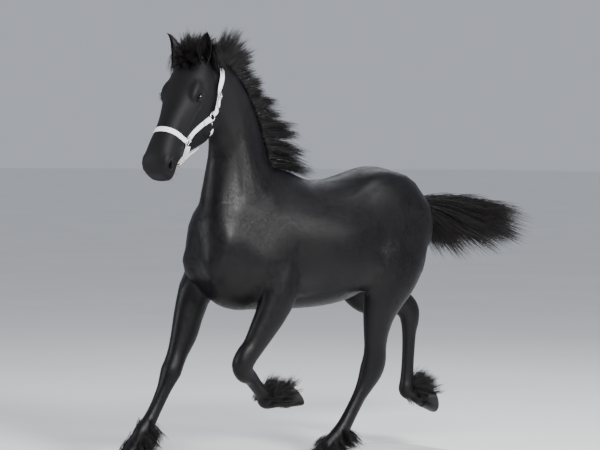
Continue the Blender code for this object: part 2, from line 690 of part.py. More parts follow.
def fuse(name, pieces):
    """One closed body from many crossing ones, by one union on their collection."""
    rest = bpy.data.collections.new(name + "_pieces")
    bpy.context.scene.collection.children.link(rest)
    body = pieces[0]
    for piece in pieces[1:]:
        bpy.context.scene.collection.objects.unlink(piece)
        rest.objects.link(piece)
    step = body.modifiers.new("fuse", "BOOLEAN")
    step.operation = "UNION"
    step.solver = FUSE_SOLVER
    step.operand_type = "COLLECTION"
    step.collection = rest
    evaluated_copy(body)
    for piece in pieces[1:]:
        bpy.data.objects.remove(piece, do_unlink=True)
    bpy.data.collections.remove(rest)
    body.name = name
    return body


def surfaces(work):
    """The mesh's separate surfaces, each a list of faces."""
    left = set(work.faces)
    found = []
    while left:
        front = [left.pop()]
        shell = list(front)
        while front:
            face = front.pop()
            for edge in face.edges:
                for near in edge.link_faces:
                    if near in left:
                        left.remove(near)
                        front.append(near)
                        shell.append(near)
        found.append(shell)
    return found


def tidy(item, smallest=MERGE):
    """Merge doubled points, drop flat faces and keep the largest closed surface."""
    work = bmesh.new()
    work.from_mesh(item.data)
    bmesh.ops.remove_doubles(work, verts=work.verts, dist=smallest)
    bmesh.ops.dissolve_degenerate(work, edges=work.edges, dist=smallest)
    shells = surfaces(work)
    largest = max(shells, key=lambda shell: sum(face.calc_area() for face in shell))
    for shell in shells:
        if shell is not largest:
            bmesh.ops.delete(work, geom=shell, context="FACES")
    loose = [vert for vert in work.verts if not vert.link_faces]
    bmesh.ops.delete(work, geom=loose, context="VERTS")
    bmesh.ops.triangulate(work, faces=work.faces)
    bmesh.ops.recalc_face_normals(work, faces=work.faces)
    if work.calc_volume(signed=True) < 0:
        bmesh.ops.reverse_faces(work, faces=work.faces)
    work.to_mesh(item.data)
    work.free()


def grown(item, distance):
    """A copy of an object with its surface moved outwards, for use as a cutter."""
    work = bmesh.new()
    work.from_mesh(item.data)
    work.normal_update()
    for vert in work.verts:
        vert.co += vert.normal * distance * min(vert.calc_shell_factor(), 2.0)
    return cutter_object(work, item.name + "_grown")


def part_flesh(flesh):
    """Part the flesh with the thin cuts and name each part by the nearest of NODES."""
    cutters = [disc(*cut) for cut in CUTS] + [coronet_cut(name) for name in LEGS]
    knife = joined("knife", cutters)
    combine(flesh, knife, "DIFFERENCE", "EXACT")
    work = bmesh.new()
    work.from_mesh(flesh.data)
    parts = {}
    for shell in surfaces(work):
        points = {vert for face in shell for vert in face.verts}
        middle = sum((vert.co for vert in points), Vector()) / len(points)
        name = min(NODES, key=lambda key: (middle - Vector(at(NODES[key]))).length)
        if name in parts and len(parts[name]) > len(shell):
            continue
        parts[name] = shell
    made = {}
    for name, shell in parts.items():
        piece = bmesh.new()
        moved = {}
        for face in shell:
            for vert in face.verts:
                if vert not in moved:
                    moved[vert] = piece.verts.new(vert.co)
            piece.faces.new([moved[vert] for vert in face.verts])
        mesh = bpy.data.meshes.new(name)
        piece.to_mesh(mesh)
        piece.free()
        item = bpy.data.objects.new(name, mesh)
        bpy.context.scene.collection.objects.link(item)
        tidy(item)
        made[name] = item
    work.free()
    bpy.data.objects.remove(flesh, do_unlink=True)
    return made


def eye_place(side):
    """The middle of an eyeball, forward, left and up; side is 1 on the left."""
    return on_head(EYE_ALONG, EYE_DOWN, side * EYE_ASIDE)


def look_direction(side):
    """Where an eye looks: aside, a little ahead and down the face."""
    down_face, forehead, left = head_axes()
    return unit(side * left + 0.42 * forehead + 0.16 * down_face)


def make_eye(side, name, radius, sides=12, rings=5):
    """An eyeball."""
    return ellipsoid(name, eye_place(side), np.eye(3), (radius,) * 3, rings, sides)


def lid_ring(side):
    """Both lids of an eye: a rounded rim along an almond drawn on the ball."""
    down_face, forehead = head_axes()[:2]
    look = look_direction(side)
    wide = unit(down_face + 0.12 * forehead - look * (look @ (down_face + 0.12 * forehead)))
    high = np.cross(wide, look) * side
    high = high if high @ forehead > 0 else -high
    angle = np.linspace(0, 2 * math.pi, LID_STEPS, endpoint=False)
    across = LID_REACH * np.cos(angle)
    lift = LID_OPENING * np.sin(angle) * (1 - 0.35 * np.cos(angle) ** 2)
    ray = unit(look + across[:, None] * wide + lift[:, None] * high)
    middle = eye_place(side) + ray * (EYE_RADIUS + LID_THICK * 0.35)
    cos, sin = turns(LID_SIDES)
    outward = ray
    sideways = unit(np.cross(np.roll(middle, -1, 0) - np.roll(middle, 1, 0), outward))
    tube = (middle[:, None] + LID_THICK * cos[None, :, None] * outward[:, None]
            + LID_THICK * 1.3 * sin[None, :, None] * sideways[:, None])
    faces = []
    for row in range(LID_STEPS):
        for column in range(LID_SIDES):
            a = row * LID_SIDES + column
            b = row * LID_SIDES + (column + 1) % LID_SIDES
            c = (row + 1) % LID_STEPS * LID_SIDES
            faces.append((a, b, c + (column + 1) % LID_SIDES, c + column))
    return new_object("lids", at(tube.reshape(-1, 3)), faces)


def nostril_cutter(side):
    """A slanting hollow, long from top to bottom, for one nostril."""
    down_face, forehead, left = head_axes()
    long_way = unit(0.85 * down_face - 0.55 * forehead)
    inward = unit(-side * left - 0.45 * down_face)
    inward = unit(inward - long_way * (long_way @ inward))
    third = np.cross(long_way, inward)
    place = on_head(NOSTRIL_ALONG, NOSTRIL_DOWN, side * NOSTRIL_ASIDE)
    return ellipsoid("nostril", place, (long_way, inward, third), NOSTRIL_SIZES, 6, 10)


def mouth_cutter():
    """A thin blade round the muzzle that opens the line of the mouth."""
    rows = spline(MOUTH, 2)
    left_side = np.stack((rows[:, 0], rows[:, 1], rows[:, 2]), -1)
    right_side = left_side[:-1][::-1] * (1, 1, -1)
    inner = np.vstack((left_side, right_side))
    outer = inner + np.stack((np.interp(inner[:, 0], (0.48, 0.53), (0.0, 0.03)),
                              np.zeros(len(inner)),
                              np.sign(inner[:, 2]) * 0.035), -1)
    rings = []
    for near, far in zip(inner, outer):
        rings.append([
            on_head(near[0], near[1] + MOUTH_OPEN / 2, near[2]),
            on_head(far[0], far[1] + MOUTH_OPEN, far[2]),
            on_head(far[0], far[1] - MOUTH_OPEN, far[2]),
            on_head(near[0], near[1] - MOUTH_OPEN / 2, near[2]),
        ])
    return loft("mouth", np.array(rings))


def finish_head(head):
    """Cut the head's nostrils and mouth, and set lids round the eyes' hollows."""
    for side in (1, -1):
        combine(head, lid_ring(side), "UNION")
    for side in (1, -1):
        combine(head, make_eye(side, "socket", EYE_RADIUS + GAP), "DIFFERENCE")
        combine(head, nostril_cutter(side), "DIFFERENCE")
    combine(head, mouth_cutter(), "DIFFERENCE")
    tidy(head)


def make_ear(side, name):
    """A leaf-shaped ear with an open cup, its section a crescent that closes at the root."""
    forehead, left = head_axes()[1:]
    root = on_head(EAR_ALONG, EAR_OUT, side * EAR_ASIDE[side])
    upright = unit(np.array((0.0, 0.0, 1.0)) + EAR_SPLAY[side] * side * left + EAR_FORWARD * forehead)
    heading = np.array((math.cos(HEAD_TURN), math.sin(HEAD_TURN), 0.0))
    open_way = unit(heading * math.cos(EAR_TWIST) + side * left * math.sin(EAR_TWIST))
    open_way = unit(open_way - upright * (upright @ open_way))
    across = np.cross(upright, open_way)
    u = np.linspace(-0.12, 1, EAR_STEPS)
    wide = EAR_WIDTH * np.clip(np.interp(u, EAR_LEAF[0], EAR_LEAF[1]), 0.04, None)
    reach = np.interp(u, (0, 0.25, 1), (150, 118, 75)) * math.pi / 180
    lean = EAR_HOOK * np.clip(u, 0, 1) ** 2
    rings = []
    for k, step in enumerate(u):
        centre = root + upright * EAR_LENGTH * step + open_way * (lean[k] - wide[k] * 0.3)
        angle = np.linspace(-reach[k], reach[k], EAR_ARC)
        ring = []
        for radius, order in ((wide[k], angle), (wide[k] - min(EAR_THICK, wide[k] * 0.5), angle[::-1])):
            for turn in order:
                ring.append(centre - open_way * radius * math.cos(turn) + across * radius * math.sin(turn))
        rings.append(ring)
    return loft(name, np.array(rings))


def lock(root, direction, fall, length, width, facing, rng, steps=5):
    """A flat lock: a lens-shaped section carried along a bending path to a point."""
    t = np.linspace(0, 1, steps)[:, None]
    sway = unit(rng.normal(size=3)) * length * LOCK_SWAY
    path = root + unit(direction) * length * t + np.asarray(fall) * t**2 + sway * np.sin(t * 3.0) * t
    tangent = unit(np.gradient(path, axis=0))
    side = unit(np.cross(tangent, facing))
    flat = np.cross(side, tangent)
    size = (0.62 + 0.75 * t - 1.36 * t**3) * (1 - t**6) + 0.012
    half = width / 2 * size
    thick = np.minimum(width * LOCK_THICK, 0.012) * (1 - 0.85 * t)
    rings = np.stack((path + side * half, path + flat * thick,
                      path - side * half, path - flat * thick), 1)
    return loft("lock", rings)


def crest_frame(count):
    """Places along the neck's crest from the poll to the withers, with the way out of it."""
    rows = spline(NECK, 8)
    place = rows[:, :3]
    tangent = unit(np.gradient(place, axis=0))
    side = unit(np.array((0, 1.0, 0)) - tangent * tangent[:, 1:2])
    out = np.cross(tangent, side)
    top = place + out * rows[:, 3:4]
    keep = (top[:, 2] > CREST_LOW) & (top[:, 2] < CREST_HIGH)
    top, out, tangent = top[keep][::-1], out[keep][::-1], -tangent[keep][::-1]
    gone = np.concatenate(((0,), np.cumsum(np.linalg.norm(np.diff(top, axis=0), axis=1))))
    at_steps = np.linspace(0, gone[-1], count)
    return [np.stack([np.interp(at_steps, gone, block[:, k]) for k in range(3)], -1)
            for block in (top, out, tangent)]


def make_mane(rng):
    """The mane's core along the crest, with locks that stream up and back from it."""
    top, out, down = crest_frame(14)
    size = np.sin(np.linspace(0.35, math.pi - 0.3, 14)) * MANE_CORE
    rows = np.column_stack((top + out * size[:, None] * 0.35, size, np.full(14, MANE_CORE_HALF)))
    pieces = [loft("mane", path_rings(rows, 8))]
    top, out, down = crest_frame(MANE_LOCKS)
    for k in range(MANE_LOCKS):
        share = k / (MANE_LOCKS - 1)
        aside = (k % 3 - 1) * MANE_SPREAD
        root = top[k] - out[k] * MANE_SUNK + np.array((0, aside * 0.35, 0))
        stream = np.array((-1.0, 0, 0.0))
        back = 0.55 + 0.75 * share + rng.uniform(-0.12, 0.12)
        direction = out[k] + stream * back + np.array((0, aside * 9, 0)) + down[k] * 0.25 * share
        length = np.interp(share, MANE_LENGTHS[0], MANE_LENGTHS[1]) * rng.uniform(0.86, 1.12)
        fall = np.array((-0.012, aside * 0.5, -0.030)) * (0.4 + share) * rng.uniform(0.6, 1.3)
        pieces.append(lock(root, direction, fall, length + MANE_SUNK, MANE_WIDTH * rng.uniform(0.8, 1.15),
                           (0, 1, 0.25 * rng.uniform(-1, 1)), rng))
    return fuse("mane", pieces)


def make_forelock(rng):
    """A short upright tuft between the ears with a few locks over the forehead."""
    down_face, forehead, left = head_axes()
    up = np.array((0, 0, 1.0))
    core = ellipsoid("forelock", on_head(0.010, -0.002, 0.0), (left, up, forehead),
                     FORELOCK_CORE, 6, 10)
    pieces = [core]
    for k in range(FORELOCK_LOCKS):
        spread = 2 * k / (FORELOCK_LOCKS - 1) - 1
        row = k % 2
        root = on_head(0.010 + 0.014 * row, -0.004, spread * 0.028)
        if row:
            direction = up * 0.9 + forehead * 0.9 + left * spread * 0.5
            fall = down_face * 0.05
            length = FORELOCK_LENGTH * rng.uniform(0.75, 1.0)
        else:
            direction = up + left * spread * 0.45 + forehead * 0.1
            fall = left * spread * 0.012
            length = FORELOCK_LENGTH * rng.uniform(0.85, 1.2)
        pieces.append(lock(root, direction, fall, length, 0.026 * rng.uniform(0.85, 1.15), forehead, rng))
    return fuse("forelock", pieces)


def dock_point(share):
    """A place along the tail's fleshy root, from the croup backwards."""
    return np.array((TAIL_ROOT[0] - DOCK_LENGTH * share, 0.0, TAIL_ROOT[1] - DOCK_DROP * share))


def make_tail(rng):
    """The tail's core with locks that run from it to tips spread over the hair's outline."""
    share = np.linspace(-0.12, 1.45, 12)
    place = np.array([dock_point(step) for step in share])
    thick = np.interp(share, (-0.12, 0.1, 0.6, 1.45), (0.036, 0.040, 0.040, 0.010))
    rows = np.column_stack((place, thick, thick * 0.8))
    pieces = [loft("tail", path_rings(rows, 10))]
    outline = np.array(TAIL_OUTLINE)
    for k in range(TAIL_LOCKS):
        share = ((k + 0.5) / TAIL_LOCKS) ** TAIL_EVEN
        behind = outline[0, 0] + share * (outline[-1, 0] - outline[0, 0])
        top, bottom, half = (np.interp(behind, outline[:, 0], outline[:, c]) for c in (1, 2, 3))
        turn = k * TAIL_TURN
        level = math.cos(turn) * rng.uniform(0.8, 1.0)
        lowest = level < 0 and behind < DOCK_LENGTH
        if level > 0 and behind < DOCK_LENGTH:
            level = -level
        height = (top + bottom) / 2 + (top - bottom) / 2 * level
        tip = np.array((TAIL_ROOT[0] - behind, math.sin(turn) * half, height))
        reach = TAIL_REACH[0] + share * (TAIL_REACH[1] - TAIL_REACH[0])
        root = dock_point(max(0.02, (behind - reach) / DOCK_LENGTH))
        root += 0.014 * np.array((0, math.sin(turn), math.cos(turn)))
        fall = np.array((0.0, 0.0, -TAIL_SINK * (1.0 if not lowest else 0.4)))
        direction = tip - root - fall
        facing = np.array((0.0, 1.0, 0.35 * math.sin(3.1 * turn)))
        width = TAIL_WIDTH * rng.uniform(0.8, 1.2)
        pieces.append(lock(root, direction, fall, np.linalg.norm(direction), width, facing, rng, 6))
    return fuse("tail", pieces)


def make_feather(name, pastern, rng):
    """Fuse the long hair behind a fetlock to the pastern's node."""
    spot = FEATHERS[name]
    root_line, back, hang = (np.asarray(spot[key], float) for key in ("line", "back", "hang"))
    pieces = [pastern]
    for k in range(FEATHER_LOCKS):
        share = k / (FEATHER_LOCKS - 1)
        turn = (3 * k % 4 - 1.5) * FEATHER_FAN
        place = root_line[0] * (1 - share) + root_line[1] * share
        side = np.array((0.0, 1.0, 0.0))
        direction = (unit(back) * math.cos(turn) + side * FEATHER_ASIDE * math.sin(turn)
                     + hang * (0.55 + 0.3 * share))
        root = place - unit(back) * 0.006 + side * math.sin(turn) * 0.016
        length = FEATHER_LENGTH * rng.uniform(0.75, 1.15)
        pieces.append(lock(root, direction, hang * 0.03, length, FEATHER_WIDTH * rng.uniform(0.85, 1.15),
                           np.cross(direction, hang + 0.01) + side * 0.3, rng, 4))
    fuse(pastern.name, pieces)


def hoof_axes(name):
    """Directions to the toe, to the left and up out of the sole for one hoof."""
    pitch = math.radians(HOOVES[name]["pitch"])
    toe = np.array((math.cos(pitch), 0.0, math.sin(pitch)))
    up = np.array((-math.sin(pitch), 0.0, math.cos(pitch)))
    return toe, np.array((0.0, 1.0, 0.0)), up


def make_hoof(name):
    """A hoof: rings from the coronet down to a flat sole, in the leg's own lean."""
    toe, left, up = hoof_axes(name)
    middle = np.array(HOOVES[name]["coronet"])
    cos, sin = turns(HOOF_SIDES)
    rings = []
    for share, length, width, shift, drop in HOOF_RINGS:
        height = HOOF_RISE * (1 - share) * cos - drop
        ring = (middle + np.multiply.outer(length * cos + shift, toe) + np.multiply.outer(width * sin, left)
                + np.multiply.outer(height, up))
        rings.append(ring)
    return loft(name + "_hoof", np.array(rings))


def surface_tree(item):
    """A search tree of an object's faces, which are already in the world."""
    mesh = item.data
    points = [vert.co.copy() for vert in mesh.vertices]
    return BVHTree.FromPolygons(points, [tuple(face.vertices) for face in mesh.polygons])


def laid_on(tree, point):
    """Where a point meets the flesh on its way in to the head's middle line, with the normal."""
    down_face = along(head_axes()[0])
    way = np.clip((point - at(POLL)) @ down_face, *HEART_SPAN)
    heart = at(on_head(way / HEAD_SCALE, HEART_DEPTH * (1 - way / HEART_FADE), 0.0))
    out = unit(point - heart)
    hit, normal = tree.ray_cast(Vector(point + out * RAY_START), Vector(-out))[:2]
    return np.array(hit), np.array(normal)


def mirrored(controls):
    """A route over the head from the left side to the same place on the right."""
    right = [(way, out, -aside) for way, out, aside in controls if aside > 0]
    ahead = [row for row in controls if row[2] > 0]
    return ahead + right[::-1]


def strap(name, controls, tree, width=STRAP_WIDTH, lift=0.0, ease=STRAP_EASE, steps=2):
    """A flat strap laid on the flesh along a smooth route, sunk a little into it."""
    route = spline([on_head(*row) for row in controls], steps)
    places, normals = [], []
    for point in at(route):
        hit, normal = laid_on(tree, point)
        places.append(hit)
        normals.append(normal)
    places, normals = np.array(places), np.array(normals)
    for turn in range(ease):
        places[1:-1] = (places[:-2] + 2 * places[1:-1] + places[2:]) / 4
        normals[1:-1] = unit(normals[:-2] + 2 * normals[1:-1] + normals[2:])
    tangent = unit(np.gradient(places, axis=0))
    side = unit(np.cross(tangent, normals))
    flat = unit(np.cross(side, tangent))
    aside = side * width / 2
    top = places + flat * (lift + STRAP_OUT)
    bottom = places + flat * (lift - STRAP_IN)
    rings = np.stack((top + aside, top - aside, bottom - aside, bottom + aside), 1)
    return new_object(name, rings.reshape(-1, 3), ring_faces(len(rings), 4))


def ring(name, place, tree, size=RING_SIZE, wire=RING_WIRE, lift=0.0):
    """A round metal ring that lies flat over the flesh."""
    hit, flat = laid_on(tree, at(on_head(*place)))
    middle = hit + flat * (wire + GAP + RING_CLEAR + lift)
    one = unit(np.cross(flat, (0.3, 0.2, 1.0)))
    two = np.cross(flat, one)
    big_cos, big_sin = turns(RING_STEPS)
    cos, sin = turns(RING_SIDES)
    spoke = big_cos[:, None] * one + big_sin[:, None] * two
    tube = middle + spoke[:, None] * (size + wire * cos)[None, :, None] + flat * (wire * sin)[None, :, None]
    faces = []
    for row in range(RING_STEPS):
        for column in range(RING_SIDES):
            a = row * RING_SIDES + column
            b = row * RING_SIDES + (column + 1) % RING_SIDES
            c = (row + 1) % RING_STEPS * RING_SIDES
            faces.append((a, b, c + (column + 1) % RING_SIDES, c + column))
    return new_object(name, tube.reshape(-1, 3), faces)


def trim(item, others, distance=GAP):
    """Cut an object clear of others by a small gap and keep its largest surface."""
    for other in others:
        combine(item, grown(other, distance), "DIFFERENCE")
    tidy(item)


def make_halter(tree, flesh_parts):
    """Every strap and ring of the halter, cut clear of the flesh and of each other."""
    rings = {}
    for side, word in ((1, "left"), (-1, "right")):
        for kind, place in (("side", SIDE_RING), ("upper", UPPER_RING)):
            spot = (place[0], place[1], place[2] * side)
            name = "halter_ring_%s_%s" % (kind, word)
            rings[name] = ring(name, spot, tree)
            trim(rings[name], [flesh_parts["head"]])
    rings["halter_ring_chin"] = ring("halter_ring_chin", CHIN_RING, tree, lift=CHIN_RING_LIFT)
    route = mirrored(NOSEBAND)
    straps = {"halter_noseband": strap("halter_noseband", route, tree, lift=NOSE_LIFT, steps=3)}
    for side, word in ((1, "left"), (-1, "right")):
        for kind, (controls, width, lift, ease) in SIDE_STRAPS.items():
            name = "halter_%s_%s" % (kind, word)
            route = [(way, out, aside * side) for way, out, aside in controls]
            straps[name] = strap(name, route, tree, width, lift, ease)
    for name, item in straps.items():
        trim(item, [flesh_parts["head"], flesh_parts["neck"]] + list(rings.values()))
    return {**rings, **straps}


def make_base():
    """The plain flat base: a rounded plate with a small chamfer round its top."""
    corners = []
    for cx, cy, start in ((1, 1, 0), (-1, 1, 90), (-1, -1, 180), (1, -1, 270)):
        for step in range(6):
            turn = math.radians(start + step * 18)
            corners.append((cx * (BASE_LENGTH / 2 - BASE_CORNER) + BASE_CORNER * math.cos(turn),
                            cy * (BASE_WIDTH / 2 - BASE_CORNER) + BASE_CORNER * math.sin(turn)))
    outline = np.array(corners)
    inner = outline * (1 - 2 * BASE_CHAMFER / np.array((BASE_LENGTH, BASE_WIDTH)))
    rings = []
    for shape, height in ((outline, 0.0), (outline, BASE_TOP - BASE_CHAMFER), (inner, BASE_TOP)):
        rings.append(np.column_stack((shape[:, 0] + BASE_SHIFT, shape[:, 1], np.full(len(shape), height))))
    points = np.vstack(rings)
    return new_object("stand_base", points, ring_faces(3, len(outline)))


def paint(item, name, colour, roughness, metallic=0.0):
    """Give an object its material."""
    material = bpy.data.materials.get(name)
    if material is None:
        material = bpy.data.materials.new(name)
        material.use_nodes = True
        shader = material.node_tree.nodes["Principled BSDF"]
        shader.inputs["Base Color"].default_value = (*colour, 1)
        shader.inputs["Roughness"].default_value = roughness
        shader.inputs["Metallic"].default_value = metallic
    item.data.materials.clear()
    item.data.materials.append(material)


def material_for(name):
    """The material's name, colour, roughness and metallic value for a sub-part's name."""
    if name.startswith("stand_"):
        return "base_board", (0.52, 0.47, 0.39), 0.7, 0.0
    if "hoof" in name:
        return "hoof_horn", (0.035, 0.033, 0.032), 0.45, 0.0
    if name.startswith("eye"):
        return "eye", (0.012, 0.008, 0.006), 0.08, 0.0
    if name.startswith("halter_ring"):
        return "halter_metal", (0.62, 0.60, 0.56), 0.3, 1.0
    if name.startswith("halter"):
        return "halter_webbing", (0.88, 0.88, 0.86), 0.75, 0.0
    if name in ("mane", "forelock", "tail"):
        return "long_hair", (0.014, 0.013, 0.013), 0.55, 0.0
    return "coat", (0.012, 0.012, 0.014), 0.45, 0.0


def clear_scene():
    """Remove whatever the scene holds."""
    for item in list(bpy.data.objects):
        bpy.data.objects.remove(item, do_unlink=True)


def build():
    """Model the animal, its halter and its base."""
    clear_scene()
    rng = np.random.default_rng(SEED)
    flesh = make_flesh()
    tree = surface_tree(flesh)
    parts = part_flesh(flesh)
    finish_head(parts["head"])
    parts["stand_base"] = make_base()
    for side, word in ((1, "left"), (-1, "right")):
        parts["eye_" + word] = make_eye(side, "eye_" + word, EYE_RADIUS)
        parts["ear_" + word] = make_ear(side, "ear_" + word)
        trim(parts["ear_" + word], [parts["head"], parts["neck"]])
    for name in LEGS:
        parts[name + "_hoof"] = make_hoof(name)
        pastern = parts[name + "_pastern"]
        make_feather(name, pastern, rng)
        trim(pastern, [parts[name + "_hoof"], parts[name + "_cannon"], parts["stand_base"]])
    halter = make_halter(tree, parts)
    parts["mane"] = make_mane(rng)
    trim(parts["mane"], [parts["neck"], parts["torso"], parts["head"], parts["ear_left"],
                         parts["ear_right"], halter["halter_crown_left"], halter["halter_crown_right"]])
    parts["forelock"] = make_forelock(rng)
    trim(parts["forelock"], [parts["head"], parts["ear_left"], parts["ear_right"],
                             halter["halter_crown_left"], halter["halter_crown_right"], parts["mane"]])
    parts["tail"] = make_tail(rng)
    trim(parts["tail"], [parts["torso"]])
    for name, item in {**parts, **halter}.items():
        item.name = name
        paint(item, *material_for(name))


build()
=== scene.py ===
import math

import bmesh
import bpy
import numpy as np
from mathutils import Matrix, Vector
from mathutils.bvhtree import BVHTree


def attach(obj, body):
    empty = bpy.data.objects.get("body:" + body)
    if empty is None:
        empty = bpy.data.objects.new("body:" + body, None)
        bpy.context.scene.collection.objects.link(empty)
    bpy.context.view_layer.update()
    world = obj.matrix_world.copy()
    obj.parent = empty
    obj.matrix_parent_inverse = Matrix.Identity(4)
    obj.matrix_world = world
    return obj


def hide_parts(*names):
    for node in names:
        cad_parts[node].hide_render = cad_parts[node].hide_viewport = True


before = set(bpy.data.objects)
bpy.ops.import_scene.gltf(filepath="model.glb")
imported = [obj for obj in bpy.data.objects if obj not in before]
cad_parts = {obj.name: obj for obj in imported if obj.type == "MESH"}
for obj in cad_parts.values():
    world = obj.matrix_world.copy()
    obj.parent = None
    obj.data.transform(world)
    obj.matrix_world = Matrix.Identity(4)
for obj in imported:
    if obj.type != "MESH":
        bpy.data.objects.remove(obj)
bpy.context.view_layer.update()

# Lengths are metres. Places are given forward of the hips' zero, left of the middle and above the base
ORIGIN_F = 0.2          # distance from the hips' zero to the base's middle
BASE_TOP = 0.022        # thickness of the base, so its top's height

SEED = 7
SIDES = ((1, "left"), (-1, "right"))

# Directions given forward, left and up
REARWARD = np.array((-1.0, 0, 0))
LEFT = np.array((0, 1.0, 0))
UP = np.array((0, 0, 1.0))

# Trunk: f, top, bottom, half width, how far the top is drawn in
TRUNK = (
    (0.65, 1.05, 0.93, 0.03, 0.0), (0.635, 1.1, 0.87, 0.08, 0.0), (0.59, 1.16, 0.79, 0.128, 0.0),
    (0.52, 1.2, 0.716, 0.155, 0.1), (0.44, 1.24, 0.688, 0.165, 0.3), (0.36, 1.28, 0.686, 0.17, 0.5),
    (0.29, 1.308, 0.684, 0.176, 0.62), (0.23, 1.312, 0.682, 0.184, 0.62),
    (0.14, 1.286, 0.682, 0.198, 0.5), (0.04, 1.252, 0.684, 0.212, 0.34),
    (-0.05, 1.252, 0.69, 0.217, 0.22), (-0.14, 1.27, 0.704, 0.21, 0.18),
    (-0.22, 1.293, 0.728, 0.198, 0.18), (-0.3, 1.311, 0.765, 0.192, 0.22),
    (-0.38, 1.311, 0.81, 0.19, 0.28), (-0.46, 1.29, 0.84, 0.178, 0.3),
    (-0.54, 1.248, 0.88, 0.148, 0.25), (-0.605, 1.195, 0.94, 0.106, 0.15),
    (-0.64, 1.135, 1.0, 0.06, 0.05), (-0.652, 1.09, 1.04, 0.025, 0.0),
)

# Neck: f, l, h, half depth, half width, how far the crest is drawn in
NECK = (
    (0.36, 0.0, 1.06, 0.235, 0.12, 0.35), (0.4, 0.0, 1.16, 0.22, 0.118, 0.4),
    (0.418, 0.002, 1.26, 0.182, 0.104, 0.45), (0.432, 0.006, 1.37, 0.15, 0.086, 0.45),
    (0.462, 0.014, 1.48, 0.132, 0.073, 0.4), (0.52, 0.027, 1.59, 0.116, 0.068, 0.35),
    (0.605, 0.04, 1.672, 0.1, 0.064, 0.25), (0.685, 0.048, 1.712, 0.075, 0.056, 0.15),
)

# Head: the poll's place, the turn to the left, the face's lean from upright
POLL = (0.724, 0.049, 1.763)
HEAD_TURN = math.radians(21.6)
HEAD_LEAN = math.radians(34.5)
HEADING = np.array((math.cos(HEAD_TURN), math.sin(HEAD_TURN), 0.0))
HEAD_SCALE = 1.04
# Head: way from the poll to the muzzle, top, bottom, half width, narrowing of the jaw
HEAD = (
    (-0.035, -0.03, -0.1, 0.034, 0.1), (0.0, -0.008, -0.14, 0.068, 0.1),
    (0.05, 0.006, -0.19, 0.086, 0.2), (0.1, 0.014, -0.244, 0.094, 0.28),
    (0.15, 0.016, -0.284, 0.097, 0.36), (0.2, 0.014, -0.292, 0.088, 0.4),
    (0.25, 0.011, -0.268, 0.076, 0.42), (0.3, 0.009, -0.228, 0.066, 0.4),
    (0.35, 0.009, -0.186, 0.061, 0.32), (0.4, 0.01, -0.154, 0.061, 0.22),
    (0.44, 0.008, -0.138, 0.062, 0.15), (0.484, 0.0, -0.132, 0.066, 0.1),
    (0.516, -0.022, -0.122, 0.059, 0.05), (0.534, -0.05, -0.104, 0.038, 0.0),
)
EYE_ALONG = 0.166
EYE_DOWN = -0.046
EYE_ASIDE = 0.0785
EYE_RADIUS = 0.0205
SOCKET_RADIUS = 0.0245  # flesh that holds the eyeball
SOCKET_BACK = 0.004     # how far its middle lies behind the eyeball's
NOSTRIL_ALONG = 0.492
NOSTRIL_DOWN = -0.046
NOSTRIL_ASIDE = 0.061
# Line of the mouth: way down the face, out of it, aside, from the left corner to the front
MOUTH = (
    (0.418, -0.102, 0.051), (0.446, -0.105, 0.052), (0.476, -0.106, 0.051), (0.502, -0.105, 0.044),
    (0.519, -0.103, 0.026), (0.524, -0.102, 0.0),
)

# Ears: the root's place on the head and the leaf's shape
EAR_ALONG = 0.01
EAR_OUT = -0.026
EAR_ASIDE = {1: 0.054, -1: 0.078}  # distance of the left ear and the right from the middle
EAR_LENGTH = 0.134
EAR_WIDTH = 0.031
EAR_THICK = 0.0045
EAR_SPLAY = {1: 0.16, -1: 0.17}  # lean to its own side of the left ear and the right
EAR_FORWARD = 0.1
EAR_TWIST = math.radians(48)
EAR_HOOK = 0.014
# Shares of the ear's length with the leaf's breadth, and with the angle that its cup reaches round
EAR_LEAF = ((-0.12, 0.0, 0.25, 0.5, 0.75, 0.9, 1.0), (0.62, 0.72, 0.95, 1.0, 0.72, 0.38, 0.03))
EAR_REACH = ((0, 0.25, 1), (150, 118, 75))

